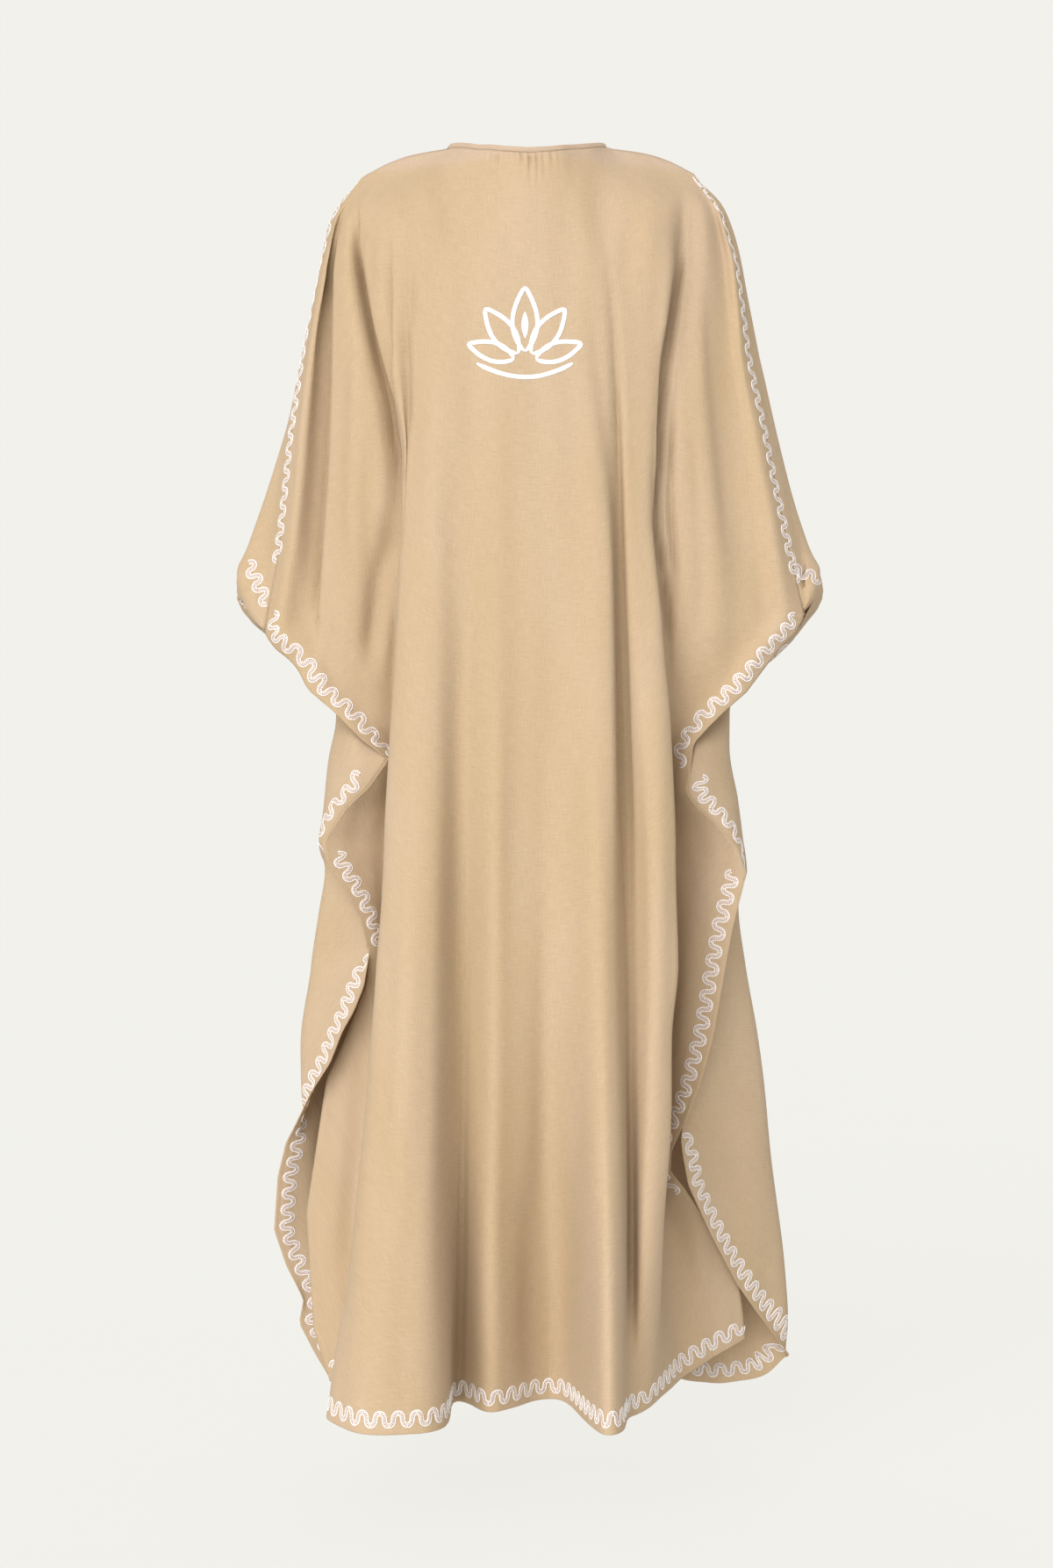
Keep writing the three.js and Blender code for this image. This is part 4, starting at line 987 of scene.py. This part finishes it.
def lay_ribbon(cords, fills, place, along, across, heading):
    """Two cords and the fill between them. place turns distances along and across into points and normals."""
    for offset in (-CORD_OFFSET, CORD_OFFSET, 0):
        bars, section = (cords, CORD_BAR) if offset else (fills, FILL_BAR)
        path, normals = place(along - offset * np.sin(heading), across + offset * np.cos(heading))
        if len(path) > 3:
            bars.sweep(path, normals, section)
    return path, normals


def add_wave(cords, fills, strip, inset, start, end, leaves=True):
    """Runs the wave trim along a strip, from one distance to the other. The inset may change on the way."""
    steps = WAVE_STEPS if leaves else INNER_STEPS
    inset = np.atleast_1d(inset)
    t, along, across, heading = wave(end - start, steps)
    middle = np.interp(along / along[-1], np.linspace(0, 1, len(inset)), inset)
    along = along + start
    path, normals = lay_ribbon(cords, fills, strip.at, along, middle + across, heading)
    if not leaves:
        return
    for k in range(steps // 4, len(t) - 1, steps // 2):
        add_leaf(cords, path[k], normals[k], unit(path[k + 1] - path[k - 1]))


def add_leaf(cords, centre, normal, direction):
    side = np.cross(normal, direction)
    length, half, rise = LEAF
    turn = 2 * math.pi * np.arange(LEAF_SIDES) / LEAF_SIDES
    rim = np.outer(np.cos(turn), side) * length + np.outer(np.sin(turn), direction) * half
    rim = centre + rim + normal * LEAF_LIFT[0]
    points = [*rim.tolist(), (centre + normal * (LEAF_LIFT[1] + rise)).tolist()]
    faces = [(k, (k + 1) % LEAF_SIDES, LEAF_SIDES) for k in range(LEAF_SIDES)]
    cords.add(points, faces, [(0, 0)] * len(points))


def add_edge_trims(cords, fills, panel, spans, outward, leaves=True):
    """Trim along the hem, and down each side edge where it shows: spans of heights for both edges."""
    for end, heights in zip((0, -1), spans):
        strip = side_strip(panel, end, outward)
        run = strip.run
        for top, bottom in heights:
            start, stop = np.interp([-top, -bottom], -panel.middle[:, end, 2], run)
            add_wave(cords, fills, strip, SIDE_INSET, start, min(stop, run[-1] - CORNER_GAP), leaves)
    strip = hem_strip(panel, outward)
    add_wave(cords, fills, strip, HEM_INSET, HEM_GAP, strip.run[-1] - HEM_GAP, leaves)


def add_cuff_trims(cords, fills, tree):
    """Trim across the strip of the front that shows beside each arm seam."""
    for (x0, z0), (x1, z1) in CUFF_RUNS:
        length = math.hypot(x1 - x0, z1 - z0)
        ahead = ((x1 - x0) / length, (z1 - z0) / length)

        def place(a, b):
            x, z = x0 + ahead[0] * a - ahead[1] * b, z0 + ahead[1] * a + ahead[0] * b
            hits = [hit for hit in (cloth_hit(tree, *spot) for spot in zip(x, z)) if hit]
            return [point for point, _ in hits], [normal for _, normal in hits]

        _, along, across, heading = wave(length, WAVE_STEPS)
        lay_ribbon(cords, fills, place, along, across, heading)


def cloth_hit(tree, x, z):
    hit, normal, _, _ = tree.ray_cast(Vector((x * MM, -1, z * MM)), Vector((0, 1, 0)))
    if hit is None:
        return None
    normal = normal if normal.y < 0 else -normal
    return np.array(hit) / MM, np.array(normal)


def tree_of(piece):
    mesh = piece.data
    return BVHTree.FromPolygons([v.co for v in mesh.vertices], [tuple(p.vertices) for p in mesh.polygons])


def add_motif(tree, material):
    """Raised motif on the back: leaves in a fan that don't cross, and an arc under them."""
    motif = Geometry()

    def stroke(flat, half, rise, taper):
        found = [cloth_hit(tree, MOTIF_FOOT[0] + x, MOTIF_FOOT[1] + z) for x, z in flat]
        section = np.array(STROKE_BAR) * (half, rise)
        motif.sweep([hit for hit, _ in found], [normal for _, normal in found], section, taper)

    def ends(count):
        t = np.linspace(0, 1, count)
        share, taper = STROKE_TIPS
        return share + (1 - share) * smooth(np.minimum(t, 1 - t) / taper)

    widest, fuller = PETAL_ROUNDING
    for angle, length, half in PETALS:
        turn = math.radians(angle)
        axis, side = (math.sin(turn), math.cos(turn)), (math.cos(turn), -math.sin(turn))
        for sign in (-1, 1):
            flat = []
            for t in np.linspace(0, 1, PETAL_STEPS):
                reach = PETAL_START + (length - PETAL_START) * t
                away = sign * half * math.sin(math.pi * t**widest) ** fuller if 0 < t < 1 else 0
                flat.append((axis[0] * reach + side[0] * away, axis[1] * reach + side[1] * away))
            stroke(flat, STROKE_HALF, STROKE_RISE, ends(PETAL_STEPS))
    foot = PETALS[0][1] * SEED_START
    reach = np.linspace(foot, foot + SEED[0], SEED_STEPS)
    swell = np.sin(math.pi * np.linspace(SEED_TIPS, 1 - SEED_TIPS, SEED_STEPS))
    stroke([(0, z) for z in reach], SEED[1], STROKE_RISE, swell)
    turn = np.linspace(-1, 1, CRADLE_STEPS)
    arch = [(CRADLE[0] * u, -CRADLE[1] * (1 - u * u)) for u in turn]
    stroke(arch, STROKE_HALF, STROKE_RISE, ends(CRADLE_STEPS))
    return motif.piece("motif", material)


def neck_band(back, front, material):
    """Narrow band that stands on the neckline, all round."""
    loop = np.concatenate([
        back.middle[0, back.first:back.last + 1], front.middle[0, front.first + 1:front.last][::-1],
    ])
    along = unit(np.roll(loop, -1, axis=0) - np.roll(loop, 1, axis=0))
    lean = np.stack([-BAND_LEAN * loop[:, 0] / NECK_HALF, np.zeros(len(loop)), np.ones(len(loop))], axis=1)
    rise = unit(lean - along * np.sum(lean * along, axis=1, keepdims=True))
    out = -np.cross(rise, along)
    rings = np.stack([loop + out * a + rise * b for a, b in BAND_SECTION], axis=1)
    n, m = rings.shape[:2]
    faces = []
    for i in range(n):
        for k in range(m):
            a, b = i * m + k, i * m + (k + 1) % m
            c, d = (i + 1) % n * m + k, (i + 1) % n * m + (k + 1) % m
            faces.append((a, b, d, c))
    lengths = arc(loop[None], 1)[0]
    uv = [(lengths[i] * MM, BAND_SECTION[k][1] * MM) for i in range(n) for k in range(m)]
    return add_object("neck_band_cloth", rings.reshape(-1, 3), faces, material, uv)


def add_seams(back, front, material):
    """Turned seams down the sides and over the shoulders, as thin rolls of cloth."""
    seams = Geometry()
    width, height = SEAM_ROLL
    roll = [(math.cos(a) * width, math.sin(a) * height) for a in np.arange(6) * math.pi / 3]
    for end, spans in ((0, (ARM_SEAM_LEFT, SIDE_SEAM_LEFT)), (-1, (ARM_SEAM_RIGHT, SIDE_SEAM_RIGHT))):
        for span in spans:
            heights = back.middle[:, end, 2]
            inside = (heights <= span[0][0] + 1) & (heights >= span[-1][0])
            low, share = rows_at(front.middle, heights[inside], end)
            share = share[:, 0]
            other = front.middle[low, end] * (1 - share) + front.middle[low + 1, end] * share
            facing = back.normals[inside, end] + front.normals[low, end]
            facing = unit(facing + SEAM_LEAN * back.normals[inside, end])
            seams.sweep((back.middle[inside, end] + other) / 2, facing, roll)
    for path in (back.middle[0, :back.first + 1], back.middle[0, back.last:][::-1]):
        seams.sweep(path + (0.0, SHOULDER_HALF, 0.0), np.tile((0.0, 0.0, 1.0), (len(path), 1)), roll)
    return seams.piece("seam_rolls", material)


class Shader:
    """A material's or world's node tree."""

    def __init__(self, tree):
        self.tree = tree
        tree.nodes.clear()

    def node(self, kind, settings=None, **inputs):
        made = self.tree.nodes.new(kind)
        for key, value in (settings or {}).items():
            setattr(made, key, value)
        for key, value in inputs.items():
            numbered = key[0] == "i" and key[1:].isdigit()
            socket = made.inputs[int(key[1:]) if numbered else key.replace("_", " ")]
            if isinstance(value, bpy.types.NodeSocket):
                self.tree.links.new(value, socket)
            else:
                socket.default_value = value
        return made


def streaks(shader, place, scale, detail=3.0):
    """Noise stretched along the threads: scale holds its fineness across and down the cloth."""
    moved = shader.node("ShaderNodeMapping", i0=place, Scale=(*scale, 1.0))
    return shader.node(
        "ShaderNodeTexNoise", i0=moved.outputs[0], Scale=1.0, Detail=detail, Roughness=0.6
    ).outputs["Fac"]


def mapped(shader, value, low, high, most=1.0):
    """Goes from 0 to most while the value goes from low to high."""
    return shader.node("ShaderNodeMapRange", i0=value, i1=low, i2=high, i3=0.0, i4=most).outputs[0]


def tint(shader, share, first, second):
    made = shader.node("ShaderNodeValToRGB", Fac=share)
    for element, color in zip(made.color_ramp.elements, (first, second)):
        element.color = (*color, 1)
    return made.outputs[0]


def shaded(shader, color, value, span, shade):
    """The colour, with the shade over it where the value is low in its span: painted shade in narrow folds,
    and the thin threads' own darker tone.
    """
    veil = tint(shader, mapped(shader, value, *span), shade, (1.0, 1.0, 1.0))
    settings = {"data_type": "RGBA", "blend_type": "MULTIPLY"}
    return shader.node("ShaderNodeMix", settings, i0=1.0, i6=color, i7=veil).outputs[2]


def new_material(name):
    material = bpy.data.materials.new(name)
    material.use_nodes = True
    return material, Shader(material.node_tree)


def cloth_material(name, golden, rosy, weave_depth):
    """Light slub weave: uneven threads both ways, soft shifts from golden to rosy, painted shade deep in
    narrow folds, a little sheen.
    """
    material, shader = new_material(name)
    threads = shader.node("ShaderNodeUVMap", {"uv_map": "cloth"}).outputs[0]
    space = shader.node("ShaderNodeTexCoord").outputs["Object"]
    wide = streaks(shader, threads, SHIFT_FINENESS, detail=2.0)
    weft = streaks(shader, threads, WEFT_FINENESS)
    warp = streaks(shader, threads, WARP_FINENESS)
    grain = shader.node("ShaderNodeTexNoise", i0=space, Scale=GRAIN_FINENESS, Detail=2.0).outputs["Fac"]
    ground = tint(shader, mapped(shader, wide, *SHIFT_SPAN), golden, rosy)
    height = shader.node("ShaderNodeSeparateXYZ", i0=space).outputs["Z"]
    facing = mapped(shader, height, *FACING, FACING_SHARE)
    settings = {"data_type": "RGBA"}
    color = shader.node("ShaderNodeMix", settings, i0=facing, i6=ground, i7=(*FACING_COLOR, 1.0)).outputs[2]
    # Painted shade: darker colour deep in narrow folds, where ambient occlusion finds the cloth closed in
    settings = {"samples": 6, "only_local": True}
    open_air = shader.node("ShaderNodeAmbientOcclusion", settings, Distance=FOLD_REACH).outputs["AO"]
    color = shaded(shader, color, open_air, FOLD_OPENNESS, FOLD_PAINTED_SHADE)
    color = shaded(shader, color, weft, THREAD_SPAN, WEFT_SHADE)
    color = shaded(shader, color, warp, THREAD_SPAN, WARP_SHADE)
    rough = shader.node("ShaderNodeMath", {"operation": "ADD"}, i0=weft, i1=warp).outputs[0]
    relief = shader.node("ShaderNodeMath", {"operation": "ADD"}, i0=rough, i1=grain).outputs[0]
    bump = shader.node("ShaderNodeBump", Height=relief, Strength=weave_depth, Distance=0.0007)
    surface = shader.node(
        "ShaderNodeBsdfPrincipled",
        Base_Color=color, Roughness=0.88, Normal=bump.outputs[0],
        Sheen_Weight=0.22, Sheen_Roughness=0.45, Sheen_Tint=(1.0, 0.93, 0.84, 1.0), Specular_IOR_Level=0.18,
    )
    through = shader.node("ShaderNodeBsdfTranslucent", Color=color, Normal=bump.outputs[0])
    thin = shader.node("ShaderNodeMixShader", i0=CLOTH_THINNESS, i1=surface.outputs[0], i2=through.outputs[0])
    shader.node("ShaderNodeOutputMaterial", Surface=thin.outputs[0])
    return material


def thread_material(name, light, shade, pitch):
    """Embroidery thread: close stitches across the run of each stroke."""
    material, shader = new_material(name)
    run = shader.node("ShaderNodeUVMap", {"uv_map": "cloth"}).outputs[0]
    stitch = shader.node(
        "ShaderNodeTexWave", {"bands_direction": "X"},
        i0=run, Scale=0.314 / pitch, Distortion=1.2, Detail=1.0,
    ).outputs["Fac"]
    fuzz = streaks(shader, run, (260, 900))
    relief = shader.node("ShaderNodeMath", {"operation": "ADD"}, i0=stitch, i1=fuzz).outputs[0]
    color = tint(shader, mapped(shader, relief, 0.4, 1.3), shade, light)
    bump = shader.node("ShaderNodeBump", Height=relief, Strength=0.5, Distance=0.0004)
    surface = shader.node(
        "ShaderNodeBsdfPrincipled",
        Base_Color=color, Roughness=0.55, Normal=bump.outputs[0],
        Sheen_Weight=0.2, Sheen_Roughness=0.4, Specular_IOR_Level=0.35,
    )
    shader.node("ShaderNodeOutputMaterial", Surface=surface.outputs[0])
    return material


def floor_material():
    """Pale even floor, bright enough by itself to meet the backdrop without a line."""
    material, shader = new_material("studio_floor")
    place = shader.node("ShaderNodeTexCoord").outputs["Object"]
    mottle = shader.node("ShaderNodeTexNoise", i0=place, Scale=2.0, Detail=2.0).outputs["Fac"]
    color = tint(shader, mottle, (0.075, 0.075, 0.07), (0.08, 0.08, 0.075))
    surface = shader.node(
        "ShaderNodeBsdfPrincipled", Base_Color=color, Roughness=1.0, Specular_IOR_Level=0.0,
        Emission_Color=FLOOR_GLOW, Emission_Strength=1.0,
    )
    shader.node("ShaderNodeOutputMaterial", Surface=surface.outputs[0])
    return material


def add_studio():
    """Pale floor and backdrop, a broad soft light from the camera's left and a weaker one from its right."""
    bpy.ops.mesh.primitive_plane_add(size=FLOOR_SIZE, location=(0, 0, FLOOR_HEIGHT))
    floor = bpy.context.object
    floor.name = "studio_floor"
    floor.data.materials.append(floor_material())

    world = bpy.data.worlds.new("studio_world")
    world.use_nodes = True
    bpy.context.scene.world = world
    shader = Shader(world.node_tree)
    facing = shader.node("ShaderNodeTexCoord").outputs["Generated"]
    depth = shader.node("ShaderNodeSeparateXYZ", i0=facing).outputs[1]
    color = tint(shader, mapped(shader, depth, -0.25, 0.55), NEAR_SKY, BACKDROP)
    glow = shader.node("ShaderNodeBackground", Color=color, Strength=1.0)
    shader.node("ShaderNodeOutputWorld", Surface=glow.outputs[0])

    for name, energy, aim, spread in SUNS:
        light = bpy.data.lights.new(name, "SUN")
        light.energy, light.angle = energy, math.radians(spread)
        lamp = bpy.data.objects.new(name, light)
        lamp.rotation_mode = "QUATERNION"
        lamp.rotation_quaternion = Vector(aim).to_track_quat("-Z", "Y")
        bpy.context.scene.collection.objects.link(lamp)


def add_camera():
    data = bpy.data.cameras.new("camera")
    data.sensor_fit, data.sensor_width, data.lens = "HORIZONTAL", SENSOR, LENS
    camera = bpy.data.objects.new("camera", data)
    camera.location = CAMERA_PLACE
    camera.rotation_euler = (math.pi / 2, 0, 0)
    bpy.context.scene.collection.objects.link(camera)
    bpy.context.scene.camera = camera


def build():
    slub = cloth_material("slub_cloth_fine", *SLUB_COLORS, WEAVE_DEPTHS[0])
    band_cloth = cloth_material("band_cloth_fine", *BAND_COLORS, WEAVE_DEPTHS[1])
    white = thread_material("white_thread_fine", *WHITE_THREAD, WHITE_STITCH)
    grey = thread_material("grey_thread_fine", *GREY_THREAD, GREY_STITCH)

    back = Panel(BACK_LINES, BACK_TOP_JOIN, -1, BACK_CREASES, BACK_SWELLS, True)
    front = Panel(FRONT_LINES, FRONT_TOP_JOIN, 1, FRONT_CREASES, FRONT_SWELLS, False)
    back_cloth = cloth_piece("back_cloth", back, slub)
    front_cloth = cloth_piece("front_cloth", front, slub)
    band = neck_band(back, front, band_cloth)
    seams = add_seams(back, front, slub)

    trims = {}
    for name, panel in (("back", back), ("front", front)):
        for where, outward in (("outer", 1), ("inner", -1)):
            cords, fills = Geometry(), Geometry()
            add_edge_trims(cords, fills, panel, TRIM_SPANS[name, where], outward, leaves=outward > 0)
            if (name, where) == ("front", "outer"):
                add_cuff_trims(cords, fills, tree_of(front_cloth))
            trims[f"{name}_{where}_cord"] = cords.piece(f"{name}_{where}_cord", white)
            trims[f"{name}_{where}_fill"] = fills.piece(f"{name}_{where}_fill", grey)
    cords, fills = Geometry(), Geometry()
    for end, seam, insets in ((0, ARM_SEAM_LEFT, ARM_INSETS_LEFT), (-1, ARM_SEAM_RIGHT, ARM_INSETS_RIGHT)):
        strip = seam_strip(back, front, seam, end)
        add_wave(cords, fills, strip, insets, ARM_START, strip.run[-1] - ARM_GAP)
    trims["arm_cord"] = cords.piece("arm_cord", white)
    trims["arm_fill"] = fills.piece("arm_fill", grey)

    motif = add_motif(tree_of(back_cloth), white)

    for piece, node, slot in (
        (back_cloth, "back_panel", "slub_cloth"), (front_cloth, "front_panel", "slub_cloth"),
        (band, "neck_band", "band_cloth"),
    ):
        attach(piece, "root")
        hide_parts(node)
    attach(seams, "root")
    for piece in [*trims.values(), motif]:
        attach(piece, "root")


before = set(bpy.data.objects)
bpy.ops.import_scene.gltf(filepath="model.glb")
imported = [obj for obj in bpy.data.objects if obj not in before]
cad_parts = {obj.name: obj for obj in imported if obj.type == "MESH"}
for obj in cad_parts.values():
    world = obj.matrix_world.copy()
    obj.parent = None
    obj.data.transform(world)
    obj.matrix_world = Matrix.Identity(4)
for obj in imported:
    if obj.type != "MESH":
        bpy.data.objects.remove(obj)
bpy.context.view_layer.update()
add_studio()
add_camera()
bpy.context.scene.view_settings.view_transform = "Standard"
build()
